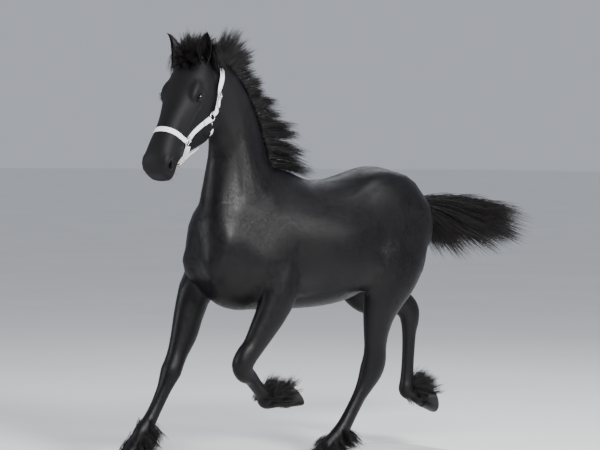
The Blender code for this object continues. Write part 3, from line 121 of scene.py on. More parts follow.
# Legs: f, l, h, half depth, half width, from inside the body to the coronet
LEGS = {
    "right_fore": (
        (0.42, -0.095, 0.98, 0.11, 0.06), (0.484, -0.115, 0.87, 0.102, 0.066),
        (0.543, -0.128, 0.775, 0.086, 0.06), (0.58, -0.13, 0.675, 0.073, 0.054),
        (0.608, -0.127, 0.585, 0.065, 0.047), (0.645, -0.123, 0.505, 0.05, 0.04),
        (0.666, -0.121, 0.46, 0.047, 0.042), (0.682, -0.12, 0.428, 0.048, 0.044),
        (0.7, -0.119, 0.393, 0.041, 0.039), (0.722, -0.118, 0.35, 0.034, 0.031),
        (0.762, -0.116, 0.28, 0.031, 0.027), (0.802, -0.113, 0.22, 0.034, 0.029),
        (0.838, -0.11, 0.178, 0.041, 0.034), (0.872, -0.11, 0.135, 0.034, 0.031),
        (0.905, -0.11, 0.092, 0.035, 0.033), (0.932, -0.11, 0.057, 0.037, 0.036),
        (0.955, -0.11, 0.027, 0.03, 0.03),
    ),
    "left_fore": (
        (0.35, 0.095, 0.99, 0.11, 0.06), (0.3, 0.118, 0.88, 0.108, 0.068),
        (0.296, 0.136, 0.78, 0.094, 0.062), (0.336, 0.138, 0.69, 0.078, 0.056),
        (0.385, 0.134, 0.61, 0.064, 0.048), (0.432, 0.13, 0.54, 0.052, 0.042),
        (0.466, 0.127, 0.5, 0.052, 0.042), (0.483, 0.122, 0.462, 0.05, 0.044),
        (0.464, 0.112, 0.428, 0.045, 0.04), (0.42, 0.097, 0.403, 0.035, 0.032),
        (0.37, 0.074, 0.365, 0.032, 0.027), (0.322, 0.054, 0.33, 0.034, 0.029),
        (0.288, 0.042, 0.298, 0.044, 0.035), (0.25, 0.038, 0.29, 0.037, 0.032),
        (0.212, 0.036, 0.291, 0.036, 0.033), (0.182, 0.035, 0.291, 0.037, 0.036),
        (0.152, 0.035, 0.291, 0.03, 0.03),
    ),
    "left_hind": (
        (-0.43, 0.085, 1.08, 0.17, 0.075), (-0.41, 0.112, 0.96, 0.175, 0.082),
        (-0.37, 0.128, 0.85, 0.155, 0.078), (-0.32, 0.136, 0.755, 0.124, 0.066),
        (-0.284, 0.138, 0.665, 0.092, 0.053), (-0.27, 0.134, 0.58, 0.07, 0.044),
        (-0.268, 0.129, 0.505, 0.06, 0.038), (-0.266, 0.125, 0.445, 0.064, 0.039),
        (-0.25, 0.121, 0.395, 0.061, 0.04), (-0.224, 0.118, 0.345, 0.047, 0.035),
        (-0.192, 0.116, 0.295, 0.036, 0.029), (-0.15, 0.114, 0.23, 0.034, 0.027),
        (-0.106, 0.112, 0.165, 0.036, 0.03), (-0.07, 0.11, 0.12, 0.041, 0.034),
        (-0.03, 0.11, 0.094, 0.036, 0.031), (0.004, 0.11, 0.069, 0.036, 0.034),
        (0.024, 0.11, 0.055, 0.037, 0.036), (0.046, 0.11, 0.034, 0.03, 0.03),
    ),
    "right_hind": (
        (-0.44, -0.085, 1.08, 0.17, 0.075), (-0.44, -0.112, 0.96, 0.17, 0.082),
        (-0.412, -0.13, 0.86, 0.15, 0.078), (-0.408, -0.14, 0.782, 0.124, 0.068),
        (-0.456, -0.139, 0.722, 0.098, 0.058), (-0.53, -0.135, 0.69, 0.076, 0.048),
        (-0.602, -0.129, 0.68, 0.06, 0.041), (-0.662, -0.125, 0.67, 0.061, 0.039),
        (-0.698, -0.122, 0.636, 0.06, 0.04), (-0.706, -0.12, 0.588, 0.05, 0.037),
        (-0.701, -0.118, 0.53, 0.038, 0.03), (-0.696, -0.116, 0.45, 0.034, 0.027),
        (-0.69, -0.114, 0.37, 0.034, 0.027), (-0.685, -0.112, 0.31, 0.037, 0.03),
        (-0.682, -0.11, 0.268, 0.041, 0.034), (-0.718, -0.11, 0.246, 0.036, 0.031),
        (-0.752, -0.11, 0.233, 0.036, 0.034), (-0.78, -0.11, 0.222, 0.037, 0.036),
        (-0.806, -0.11, 0.212, 0.03, 0.03),
    ),
}

# Forms of the head: way down the face, out of it, aside, half sizes in the same order
HEAD_FORMS = (
    (0.148, -0.024, 0.067, (0.056, 0.028, 0.024)),  # brow over the eye
    (0.168, -0.15, 0.046, (0.1, 0.112, 0.05)),  # cheek
    (0.24, -0.066, 0.05, (0.08, 0.012, 0.02)),  # crest under the eye
    (0.476, -0.036, 0.043, (0.038, 0.03, 0.024)),  # nostril's wing
    (0.5, -0.08, 0.022, (0.031, 0.03, 0.033)),  # upper lip
    (0.49, -0.116, 0.015, (0.035, 0.019, 0.028)),  # lower lip
    (0.462, -0.132, 0.0, (0.029, 0.021, 0.026)),  # chin
)

# Hooves: the coronet's middle and the toe's pitch in the plane of f and h
HOOVES = {
    "right_fore": {"coronet": (0.932, -0.11, 0.055), "pitch": 0},
    "left_fore": {"coronet": (0.182, 0.035, 0.291), "pitch": -128},
    "left_hind": {"coronet": (0.024, 0.11, 0.055), "pitch": 0},
    "right_hind": {"coronet": (-0.78, -0.11, 0.222), "pitch": -103},
}
HOOF_RISE = 0.016       # how far the coronet rises from its middle to the front
HOOF_SIDES = 72
# Rings of the hollow sole: share of its breadth and depth
SOLE = ((0.9, 0.001), (0.84, 0.0035), (0.7, 0.006), (0.5, 0.008), (0.3, 0.009), (0.12, 0.0095))
# Rings of a hoof: share of the way down, half length, half width, shift ahead, drop
HOOF_RINGS = (
    (0.0, 0.0375, 0.0365, 0.0, 0.0002), (0.12, 0.041, 0.04, 0.002, 0.007),
    (0.94, 0.0595, 0.0525, 0.024, 0.051), (1.0, 0.057, 0.05, 0.023, 0.0547),
)

# Long hair: the crest's heights, lengths and shapes
CREST_LOW = 1.3
CREST_HIGH = 1.77
MANE_SUNK = 0.02
MANE_LENGTHS = ((0.0, 0.12, 0.24, 0.36, 0.5, 0.8, 1.0), (0.15, 0.125, 0.088, 0.085, 0.122, 0.205, 0.245))
FORELOCK_LENGTH = 0.095
TAIL_ROOT = (-0.612, 1.148)
DOCK_LENGTH = 0.3
DOCK_DROP = 0.038
TAIL_SINK = 0.05        # how far the locks bend down on their way
TAIL_EVEN = 0.75        # evenness of the tips' spread along the tail, below 1 for more at the end
# Outline of the hair's tips: way behind the root, top, bottom, half width
TAIL_OUTLINE = (
    (0.1, 1.175, 0.915, 0.05), (0.25, 1.172, 0.872, 0.085), (0.38, 1.16, 0.868, 0.11),
    (0.52, 1.14, 0.898, 0.115), (0.64, 1.12, 0.932, 0.1), (0.74, 1.095, 0.955, 0.08),
)
TAIL_REACH = (0.2, 0.46)  # distance from tip back to root of the first locks and the last
FEATHER_LENGTH = 0.096
# Long hair behind each fetlock: the line its roots follow, the way back and the way it hangs
FEATHERS = {
    "right_fore": {"line": ((0.815, -0.11, 0.185), (0.9, -0.11, 0.066)),
                   "back": (-0.72, 0, -0.45), "hang": (0.1, 0, -0.75)},
    "left_fore": {"line": ((0.292, 0.044, 0.322), (0.19, 0.036, 0.318)),
                  "back": (-0.45, 0, 0.8), "hang": (-0.9, 0, 0.1)},
    "left_hind": {"line": ((-0.095, 0.11, 0.125), (-0.002, 0.11, 0.058)),
                  "back": (-0.8, 0, -0.25), "hang": (0.1, 0, -0.6)},
    "right_hind": {"line": ((-0.712, -0.11, 0.29), (-0.785, -0.11, 0.25)),
                   "back": (-0.5, 0, 0.75), "hang": (-0.75, 0, -0.2)},
}

# Halter: straps follow the head at these places: way down the face, out of it, aside
STRAP_WIDTH = 0.024
HEART_SPAN = (0.02, 0.5)  # middle line of the head: where it starts and ends down the face
HEART_DEPTH = -0.115    # how deep it lies at the poll
HEART_FADE = 1.3        # way down the face over which it would come up to the surface
RAY_START = 0.08        # how far outside a place its way in to the flesh starts
RING_SIZE = 0.0165
RING_WIRE = 0.003
SIDE_RING = (0.345, -0.103, 0.06)
UPPER_RING = (0.188, -0.15, 0.09)
CHIN_RING = (0.385, -0.196, 0.0)
NOSEBAND = ((0.348, -0.084, 0.075), (0.354, -0.04, 0.072), (0.358, -0.004, 0.048),
            (0.359, 0.022, 0.018), (0.359, 0.022, -0.018))
CHEEK = ((0.327, -0.11, 0.075), (0.27, -0.13, 0.085), (0.207, -0.146, 0.095))
CROWN = ((0.17, -0.16, 0.11), (0.11, -0.15, 0.115), (0.04, -0.135, 0.112),
         (-0.02, -0.1, 0.1), (-0.052, -0.055, 0.06), (-0.064, -0.034, 0.02),
         (-0.064, -0.034, 0.004))
THROAT = ((0.203, -0.17, 0.095), (0.212, -0.205, 0.088), (0.216, -0.238, 0.06))
THROAT_WIDTH = 0.019
CROWN_LIFT = 0.014      # how far the taut crown strap stays above the flesh
CROWN_EASE = 4
CHIN_RING_LIFT = 0.018

# Muscles and bony points: centre, half sizes along f, l and h, lean in the f-h plane
MUSCLES = (
    ((0.345, 0.104, 1.01), (0.12, 0.06, 0.19), 22),  # shoulder blade
    ((0.54, 0.092, 0.975), (0.08, 0.064, 0.12), 10),  # point of the shoulder
    ((0.365, 0.12, 0.9), (0.125, 0.062, 0.115), -20),  # triceps
    ((0.59, 0.065, 0.905), (0.065, 0.06, 0.1), 0),  # breast muscle
    ((0.23, 0.024, 1.205), (0.18, 0.05, 0.085), 0),  # withers' sides
    ((-0.36, 0.085, 1.17), (0.21, 0.092, 0.125), 4),  # croup
    ((-0.505, 0.092, 1.06), (0.125, 0.08, 0.165), -14),  # haunch
    ((-0.52, 0.085, 0.95), (0.085, 0.06, 0.12), 10),  # hamstring
    ((-0.33, 0.13, 1.0), (0.13, 0.064, 0.17), 12),  # thigh
    ((-0.11, 0.118, 0.9), (0.25, 0.096, 0.155), 0),  # barrel
)

# Skin and coat
SKIN_GRAIN = 0.0042     # grain at which the flesh is drawn together
SMOOTH_ROUNDS = 17      # rounds of easing of the whole skin, of the trunk and of the brows
SOFT_ROUNDS = 120
BROW_ROUNDS = 40
SOFT_ABOVE = 0.72       # heights between which the trunk's easing grows to full
SOFT_FULL = 0.92
HEAD_BEGINS = 0.1       # way ahead of the neck's end over which it fades out
SKIN_FACES = 120000
SKIN_EDGES = (0.0032, 0.0018, 0.0011)  # longest edges near eyes, nostrils and mouth, round by round
FINEST = 0.0015         # below this length only the places round the eyes are cut finer
COAT_DEPTH = 0.0015     # the skin lies this far inside the flesh's own surface
FLESH_NODES = ("head", "neck", "torso")
FLESH_ENDINGS = ("_forearm", "_gaskin", "_cannon", "_pastern")
COAT_TINTS = ((0.0018, 0.0017, 0.0025, 1), (0.0044, 0.0038, 0.0042, 1))
COAT_PIECES = 6
COAT_TUFTS = 28000
COAT_LENGTH = 0.015
COAT_WIDTH = 0.0034
COAT_BARE = 0.4         # way down the face where the bare muzzle begins

# Eyes, lids, nostrils: half lengths, half heights and depths
LID_LONG = 0.0195
LID_HIGH = 0.0125
LID_UPPER = 1.12        # the upper lid's height to the lower one's
LID_DEPTH = 0.0018
NOSTRIL_LONG = 0.021
NOSTRIL_WIDE = 0.0085
NOSTRIL_DEEP = 0.016

# Long hair: how many hairs and how many clumps they gather in
MANE_HAIRS = 4500
MANE_CLUMPS = 220
MANE_TUFTS = 13
CREST_HALF = 0.013      # half breadth of the row of roots
TAIL_HAIRS = 3400
DOCK_HALF = 0.022       # half height of the ring of roots round the dock
TAIL_CLUMPS = 150
FORELOCK_HAIRS = 2200
FORELOCK_CLUMPS = 96
FEATHER_HAIRS = 2400
FEATHER_CLUMPS = 84
POLL_HAIRS = 2400
POLL_CLUMPS = 130
EAR_HAIRS = 700
LASHES = 90
WHISKERS = 70
LOCK_SIDES = 3
PATCH = 0.0015          # half breadth of a lock's patch on the bake map
BATCH = 20000           # this many places at a time are unwrapped

# Halter: thicknesses, lengths and widths
STRAP_THICK = 0.0026
STRAP_OFF = 0.002       # distance of a band's middle from the skin
STRAP_SIDES = 20
LOOP_LENGTH = 0.036     # length of an end sewn back over its band
BILLET_LENGTH = 0.105
BILLET_LIFT = 2.2       # how far it lies off the route, in thicknesses
CHIN_SAG = 0.024
CHIN_WIDTH = 0.021
MIDDLE_WIDTH = 0.016
SNAP_REACH = 0.062      # the snap takes up this much of the throat strap
SNAP_SWELL = ((0, 0.08, 0.3, 0.62, 0.72, 0.8, 1), (0.002, 0.0036, 0.0046, 0.004, 0.0026, 0.0038, 0.003))
BUCKLE_LONG = 0.0125
BUCKLE_WIDE = 0.0168
# Under the jaw from the chin ring to the throat: way down the face, out of it, aside
MIDDLE = ((0.352, -0.203, 0.0), (0.32, -0.222, 0.0), (0.29, -0.242, 0.0), (0.262, -0.258, 0.0))
STITCH_ROWS = 0.0088    # distance of the stitching from a band's middle

# Camera and lamps: place, size, power, tint
CAMERA_PLACE = (-6.269, -7.626, 1.402)
CAMERA_TURN = 40.0
CAMERA_PITCH = 1.9
CAMERA_ROLL = 0.6
CAMERA_LENS = 135.6
AIM = (0.0, 0.0, 0.9)
FLOOR_REACH = 120.0
SKY = 0.5
LAMPS = (
    ("key", (-0.9, -5.5, 4.3), (1.4, 1.1), 580, (1.0, 0.985, 0.96)),
    ("top", (0.5, -2.6, 4.8), (2.6, 1.4), 120, (0.88, 0.92, 1.0)),
    ("rear", (3.8, 2.6, 4.4), (3.0, 2.5), 55, (0.92, 0.95, 1.0)),
    ("flank", (2.4, -5.4, 3.0), (1.1, 0.9), 150, (1.0, 0.99, 0.97)),
    ("side", (-5.0, 1.8, 2.4), (2.5, 2.5), 150, (0.96, 0.97, 1.0)),
)

# Forms of the body raised or sunk: place, half sizes, lean in the plane of f and h, height
RELIEF = (
    ((0.232, 0.165, 0.93), (0.026, 0.1, 0.14), 14, -0.0109),  # behind the upper arm
    ((0.3, 0.14, 1.09), (0.022, 0.09, 0.12), 24, -0.007),  # behind the shoulder blade
    ((0.455, 0.12, 1.085), (0.022, 0.08, 0.13), 26, -0.0078),  # ahead of the shoulder blade
    ((0.35, 0.16, 0.8), (0.034, 0.05, 0.03), 0, 0.0093),  # elbow
    ((0.52, 0.15, 0.905), (0.06, 0.06, 0.016), -30, -0.007),  # between breast and upper arm
    ((-0.205, 0.165, 1.2), (0.045, 0.06, 0.03), 0, 0.0139),  # hip point
    ((-0.15, 0.19, 1.105), (0.07, 0.08, 0.05), 0, -0.0124),  # flank hollow
    ((-0.235, 0.17, 0.8), (0.045, 0.06, 0.045), 0, 0.0101),  # stifle
    ((-0.19, 0.17, 0.89), (0.02, 0.07, 0.11), -24, -0.0093),  # fold of the flank
    ((-0.47, 0.16, 0.93), (0.016, 0.08, 0.15), -8, -0.0078),  # between thigh and hamstring
    ((-0.4, 0.1, 1.27), (0.13, 0.05, 0.03), 6, 0.0054),  # croup muscle
    ((0.59, 0.0, 0.96), (0.05, 0.016, 0.11), 0, -0.0139),  # groove of the breast
)
# Forms of the head: way down the face, out of it, aside, half sizes, height
HEAD_RELIEF = (
    (0.112, -0.044, 0.086, (0.02, 0.018, 0.026), -0.0035),  # hollow over the eye
    (0.25, -0.074, 0.062, (0.075, 0.006, 0.03), 0.0032),  # facial crest
    (0.275, -0.108, 0.052, (0.065, 0.018, 0.03), -0.004),  # below the crest
    (0.31, -0.042, 0.05, (0.065, 0.018, 0.022), -0.003),  # beside the nose bone
    (0.33, 0.004, 0.0, (0.11, 0.02, 0.022), 0.002),  # nose bone
    (0.196, -0.066, 0.08, (0.012, 0.01, 0.02), -0.002),  # below the inner corner of the eye
    (0.452, -0.064, 0.056, (0.018, 0.012, 0.02), -0.003),  # behind the nostril
    (0.25, -0.24, 0.0, (0.12, 0.04, 0.016), -0.009),  # between the jaws
    (0.434, -0.146, 0.0, (0.012, 0.022, 0.03), -0.004),  # behind the chin
    (0.421, -0.104, 0.052, (0.008, 0.006, 0.02), -0.0022),  # corner of the mouth
)
# Grooves and ridges: on the face or not, line on a side view, nearest and farthest aside, height, half width
LINES = (
    (False, ((0.64, 1.47), (0.56, 1.33), (0.52, 1.2), (0.53, 1.1)), 0.03, 0.2, -0.01, 0.022),
    (False, ((0.6, 1.56), (0.5, 1.43), (0.44, 1.3), (0.4, 1.18)), 0.02, 0.2, 0.007, 0.03),
    (False, ((0.48, 1.6), (0.4, 1.45), (0.33, 1.33)), 0.01, 0.2, -0.0065, 0.024),
    (False, ((0.5, 1.06), (0.44, 0.96), (0.42, 0.87)), 0.06, 0.3, -0.008, 0.014),
    (False, ((0.3, 1.04), (0.33, 0.93), (0.37, 0.85)), 0.06, 0.3, -0.007, 0.014),
    (False, ((-0.15, 1.19), (-0.24, 1.11), (-0.283, 0.99), (-0.245, 0.86)), 0.06, 0.3, -0.008, 0.018),
    (False, ((-0.2, 1.255), (-0.283, 1.215), (-0.328, 1.13), (-0.341, 1.006), (-0.303, 0.91), (-0.25, 0.85)),
     0.05, 0.3, 0.019, 0.017),
    (False, ((0.475, 1.16), (0.432, 1.06), (0.405, 0.95)), 0.05, 0.3, 0.015, 0.022),
    (False, ((0.3, 0.965), (0.222, 0.865), (0.268, 0.79)), 0.05, 0.3, 0.009, 0.02),
    (False, ((-0.458, 1.12), (-0.505, 0.96), (-0.44, 0.83)), 0.05, 0.3, 0.01, 0.02),
    (False, ((-0.5, 1.16), (-0.47, 1.0), (-0.42, 0.86), (-0.36, 0.74)), 0.05, 0.3, -0.0085, 0.013),
    (False, ((0.752, 0.3), (0.785, 0.235)), 0.05, 0.2, -0.003, 0.006),
    (False, ((-0.215, 0.29), (-0.15, 0.205)), 0.05, 0.2, -0.003, 0.006),
    (False, ((-0.7, 0.5), (-0.692, 0.36)), 0.05, 0.2, -0.003, 0.006),
    (True, ((0.205, -0.075), (0.24, -0.11), (0.262, -0.16), (0.256, -0.225)), 0.0, 0.2, 0.0016, 0.004),
    (True, ((0.33, -0.06), (0.38, -0.052), (0.43, -0.066)), 0.0, 0.2, 0.0012, 0.0035),
    (True, ((0.3, -0.135), (0.35, -0.11), (0.41, -0.104)), 0.0, 0.2, -0.0024, 0.006),
)


def at(point):
    """World places of points given forward, left and up: x = origin - f, y = -l, z = base top + h."""
    f, l, h = np.moveaxis(np.asarray(point, float), -1, 0)
    return np.stack((ORIGIN_F - f, -l, BASE_TOP + h), -1)


def along(direction):
    """World direction of one given forward, left and up: the first two change sign."""
    f, l, h = np.moveaxis(np.asarray(direction, float), -1, 0)
    return np.stack((-f, -l, h), -1)


def back(point):
    """A world place given forward, left and up: the reverse of at()."""
    x, y, z = np.moveaxis(np.asarray(point, float), -1, 0)
    return np.stack((ORIGIN_F - x, -y, z - BASE_TOP), -1)


def unit(vectors):
    """Each vector divided by its length."""
    vectors = np.asarray(vectors, float)
    return vectors / np.maximum(np.linalg.norm(vectors, axis=-1, keepdims=True), 1e-12)


def far_from(points, place):
    """How far points lie from a place."""
    return np.linalg.norm(points - place, axis=1)


def tangents(path):
    """The way along a path at each of its places."""
    return unit(np.gradient(path, axis=0))


def gone_along(path):
    """Length of a path up to each of its places."""
    return np.concatenate(((0,), np.cumsum(np.linalg.norm(np.diff(path, axis=0), axis=1))))


def smooth_step(value, low, high):
    """0 below low, 1 above high, and 3t squared minus 2t cubed between them."""
    t = np.clip((value - low) / (high - low), 0, 1)
    return t * t * (3 - 2 * t)


def spline(rows, steps):
    """Rows read from a smooth curve through the given rows: the cubic of four neighbours on each span."""
    rows = np.asarray(rows, float)
    before = np.vstack((2 * rows[0] - rows[1], rows[:-2]))
    after = np.vstack((rows[2:], 2 * rows[-1] - rows[-2]))
    t = np.linspace(0, 1, steps, endpoint=False)[None, :, None]
    p0, p1, p2, p3 = (block[:, None, :] for block in (before, rows[:-1], rows[1:], after))
    curve = 0.5 * (
        2 * p1 + (p2 - p0) * t + (2 * p0 - 5 * p1 + 4 * p2 - p3) * t**2
        + (3 * p1 - p0 - 3 * p2 + p3) * t**3
    )
    return np.vstack((curve.reshape(-1, rows.shape[1]), rows[-1:]))


def turns(sides):
    """Cosines and sines of equal steps round a ring."""
    angle = np.linspace(0, 2 * math.pi, sides, endpoint=False)
    return np.stack((np.cos(angle), np.sin(angle)))


def bent(value, power):
    """A value's size to a power, with its own sign: it makes a ring fuller or flatter."""
    return np.sign(value) * np.abs(value) ** power


def grid_faces(rows, columns, closed_rows=False, closed_columns=True):
    """Four-sided faces between neighbours of a grid of points, closed round on the ways asked for."""
    row = np.arange(rows if closed_rows else rows - 1)
    column = np.arange(columns if closed_columns else columns - 1)
    near, far = row[:, None] * columns, (row[:, None] + 1) % rows * columns
    here, there = column[None, :], (column[None, :] + 1) % columns
    return np.stack((near + here, near + there, far + there, far + here), -1).reshape(-1, 4)


def tube(rings):
    """A closed tube through rings of points: quads between rings, and a fan onto the middle at each end."""
    rings = np.asarray(rings, float)
    count, sides = rings.shape[:2]
    points = np.vstack((rings.reshape(-1, 3), rings[0].mean(0), rings[-1].mean(0)))
    here = np.arange(sides)
    there = (here + 1) % sides
    last = (count - 1) * sides
    fans = np.vstack((
        np.stack((there, here, np.full(sides, count * sides)), -1),
        np.stack((last + here, last + there, np.full(sides, count * sides + 1)), -1),
    ))
    return points, [grid_faces(count, sides), fans]


def turned_out(points, blocks):
    """The same faces, reversed where the sum of a.(b x c) over their triangles, the volume, is negative."""
    volume = 0.0
    for faces in blocks:
        for k in range(1, faces.shape[1] - 1):
            a, b, c = points[faces[:, 0]], points[faces[:, k]], points[faces[:, k + 1]]
            volume += np.einsum("ij,ij->", a, np.cross(b, c))
    return points, ([faces[:, ::-1] for faces in blocks] if volume < 0 else blocks)


def linked(name, data):
    """A new object in the scene."""
    item = bpy.data.objects.new(name, data)
    bpy.context.scene.collection.objects.link(item)
    return item


def mesh_object(name, shapes, smooth=True):
    """One object at the origin that holds all the shapes, each a pair of points and blocks of faces."""
    points = np.vstack([shape[0] for shape in shapes])
    starts = np.cumsum([0] + [len(shape[0]) for shape in shapes[:-1]])
    blocks = [faces + start for shape, start in zip(shapes, starts) for faces in shape[1]]
    corners = np.concatenate([faces.ravel() for faces in blocks])
    sizes = np.concatenate([np.full(len(faces), faces.shape[1]) for faces in blocks])
    mesh = bpy.data.meshes.new(name)
    mesh.vertices.add(len(points))
    mesh.vertices.foreach_set("co", points.astype(np.float32).ravel())
    mesh.loops.add(len(corners))
    mesh.loops.foreach_set("vertex_index", corners.astype(np.int32))
    mesh.polygons.add(len(sizes))
    mesh.polygons.foreach_set("loop_start", (np.cumsum(sizes) - sizes).astype(np.int32))
    mesh.polygons.foreach_set("use_smooth", np.full(len(sizes), smooth))
    mesh.update(calc_edges=True)
    return linked(name, mesh)


def closed_tube(name, rings):
    """An object that is one closed tube through rings of world places."""
    return mesh_object(name, [turned_out(*tube(rings))])


def set_uv(item, name, per_point):
    """A UV map whose value at each face corner is that of the corner's point."""
    layer = item.data.uv_layers.new(name=name)
    corner = np.empty(len(item.data.loops), np.int32)
    item.data.loops.foreach_get("vertex_index", corner)
    layer.data.foreach_set("uv", np.asarray(per_point, np.float32)[corner].ravel())


def set_value(item, name, per_point):
    """A named number on every point of the mesh."""
    layer = item.data.attributes.new(name, "FLOAT", "POINT")
    layer.data.foreach_set("value", np.asarray(per_point, np.float32))


def mesh_points(item):
    """The places of an object's points, given forward, left and up."""
    flat = np.empty(len(item.data.vertices) * 3, np.float32)
    item.data.vertices.foreach_get("co", flat)
    return back(flat.reshape(-1, 3).astype(float))


def mesh_normals(item):
    """The directions square to the surface at an object's points, given forward, left and up."""
    flat = np.empty(len(item.data.vertices) * 3, np.float32)
    item.data.vertex_normals.foreach_get("vector", flat)
    return along(flat.reshape(-1, 3).astype(float))


def applied(item):
    """Take the modifiers' result as the object's own mesh."""
    graph = bpy.context.evaluated_depsgraph_get()
    mesh = bpy.data.meshes.new_from_object(item.evaluated_get(graph))
    old = item.data
    item.modifiers.clear()
    item.data = mesh
    bpy.data.meshes.remove(old)


def finish_piece(item, material, slot_name, *nodes):
    """Give a piece its material, let it ride on the body and stand for its nodes; the slot's name is not
    used.
    """
    item.data.materials.clear()
    item.data.materials.append(material)
    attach(item, "root")
    if nodes:
        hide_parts(*nodes)
    return item


# Flesh

def trunk_rings(sides=72):
    """Upright sections: l = half width times cos, h = middle + half depth times sin, narrower at the top."""
    cos, sin = turns(sides)
    f, top, bottom, half, pinch = spline(TRUNK, 6).T[..., None]
    draw = 1 - pinch * np.clip(sin, 0, 1) ** 2.2
    l = half * bent(cos, 0.92) * draw
    h = (top + bottom) / 2 + (top - bottom) / 2 * bent(sin, 0.96)
    return np.stack(np.broadcast_arrays(f, l, h), -1)


def path_rings(rows, sides, draw_in=None):
    """Sections square to a path: half width times cos across it, half depth times sin out of it."""
    place = rows[:, :3]
    tangent = tangents(place)
    side = unit(LEFT - (tangent @ LEFT)[:, None] * tangent)
    deep = np.cross(tangent, side)
    cos, sin = turns(sides)
    depth = rows[:, 3, None] * sin
    width = rows[:, 4, None] * cos
    if draw_in is not None:
        width = width * (1 - draw_in[:, None] * np.clip(sin, 0, 1) ** 2)
    return place[:, None] + depth[..., None] * deep[:, None] + width[..., None] * side[:, None]


def head_axes():
    """Directions down the face, out of the forehead and to the head's left."""
    down_face = HEADING * math.sin(HEAD_LEAN) - UP * math.cos(HEAD_LEAN)
    out = HEADING * math.cos(HEAD_LEAN) + UP * math.sin(HEAD_LEAN)
    return down_face, out, np.cross(UP, HEADING)


def on_head(way, out, aside):
    """Poll plus way down the face, out of it and aside along the head's own directions, to its scale."""
    down_face, forehead, left = head_axes()
    way, out, aside = (HEAD_SCALE * np.asarray(value, float)[..., None] for value in (way, out, aside))
    return np.asarray(POLL) + way * down_face + out * forehead + aside * left


def head_measure(points):
    """Way down the face, out of it and aside of points given forward, left and up."""
    return (np.asarray(points, float) - POLL) @ np.stack(head_axes(), 1) / HEAD_SCALE


def head_rings(sides=72):
    """Sections square to the face, with powers of cos and sin that flatten them, narrower at the jaw."""
    cos, sin = turns(sides)
    way, top, bottom, half, jaw = spline(HEAD, 8).T[..., None]
    middle = top * 0.6 + bottom * 0.4
    out = middle + np.where(sin > 0, (top - middle) * np.abs(sin) ** 0.8,
                            (bottom - middle) * np.abs(sin) ** 0.9)
    aside = half * bent(cos, 0.85) * (1 - jaw * np.clip(-sin, 0, 1) ** 1.5)
    return on_head(*np.broadcast_arrays(way, out, aside))


def ball(rings, sides):
    """Angles a off a ball's first way, and its rings of places (cos a, sin a cos b, sin a sin b)."""
    polar = np.linspace(0, math.pi, rings + 2)[1:-1]
    cos, sin = turns(sides)
    return polar, np.stack(np.broadcast_arrays(
        np.cos(polar)[:, None], np.sin(polar)[:, None] * cos, np.sin(polar)[:, None] * sin), -1)


def egg(centre, axes, sizes):
    """A closed egg: centre plus size times the places of a ball along three directions."""
    return np.asarray(centre, float) + (ball(18, 28)[1] * np.asarray(sizes, float)) @ np.asarray(axes, float)


def leaning_axes(degrees):
    """Forward, left and up, turned by an angle in the plane of forward and up."""
    lean = math.radians(degrees)
    return ((math.cos(lean), 0, math.sin(lean)), (0, 1, 0), (-math.sin(lean), 0, math.cos(lean)))


def eye_place(side):
    """The middle of an eyeball; side is 1 on the left."""
    return on_head(EYE_ALONG, EYE_DOWN, side * EYE_ASIDE)


def look_direction(side):
    """Where an eye looks: aside, a little ahead and down the face."""
    down_face, forehead, left = head_axes()
    return unit(side * left + 0.42 * forehead + 0.16 * down_face)


def flesh_rings():
    """Rings of every tapered length, muscle and form of the head that the flesh is drawn together from."""
    neck = spline(NECK, 6)
    found = [trunk_rings(), path_rings(neck[:, :5], 64, neck[:, 5]), head_rings()]
    found += [path_rings(spline(rows, 6), 44) for rows in LEGS.values()]
    for side in (1, -1):
        for centre, sizes, lean in MUSCLES:
            found.append(egg((centre[0], centre[1] * side, centre[2]), leaning_axes(lean), sizes))
        for way, out, aside, sizes in HEAD_FORMS:
            found.append(egg(on_head(way, out, aside * side), head_axes(), sizes))
        socket = eye_place(side) - look_direction(side) * SOCKET_BACK
        found.append(egg(socket, np.eye(3), (SOCKET_RADIUS,) * 3))
    return found


def near_head(points):
    """How far points belong to the head: 1 on the head and 0 on the neck and body, by distance."""
    way, out = head_measure(points).T[:2]
    return (1 - smooth_step(-way, 0.02, 0.06)) * (1 - smooth_step(-out, 0.3, 0.34)) * (points[:, 2] > 1.1)


def weight_group(item, name, weight, levels=12):
    """A vertex group from a number between 0 and 1 on each point, rounded to a few levels."""
    group = item.vertex_groups.new(name=name)
    step = np.round(np.clip(weight, 0, 1) * levels).astype(int)
    for level in range(1, levels + 1):
        group.add(np.flatnonzero(step == level).tolist(), level / levels, "REPLACE")


def softened(item, rounds, name=None, weight=None):
    """Take the live modifiers' result after each point has moved half way to the mean of its neighbours,
    as many times as asked and by its weight."""
    if name:
        weight_group(item, name, weight)
    step = item.modifiers.new("soften", "SMOOTH")
    step.factor = 0.5
    step.iterations = rounds
    step.vertex_group = name or ""
    applied(item)
    item.vertex_groups.clear()


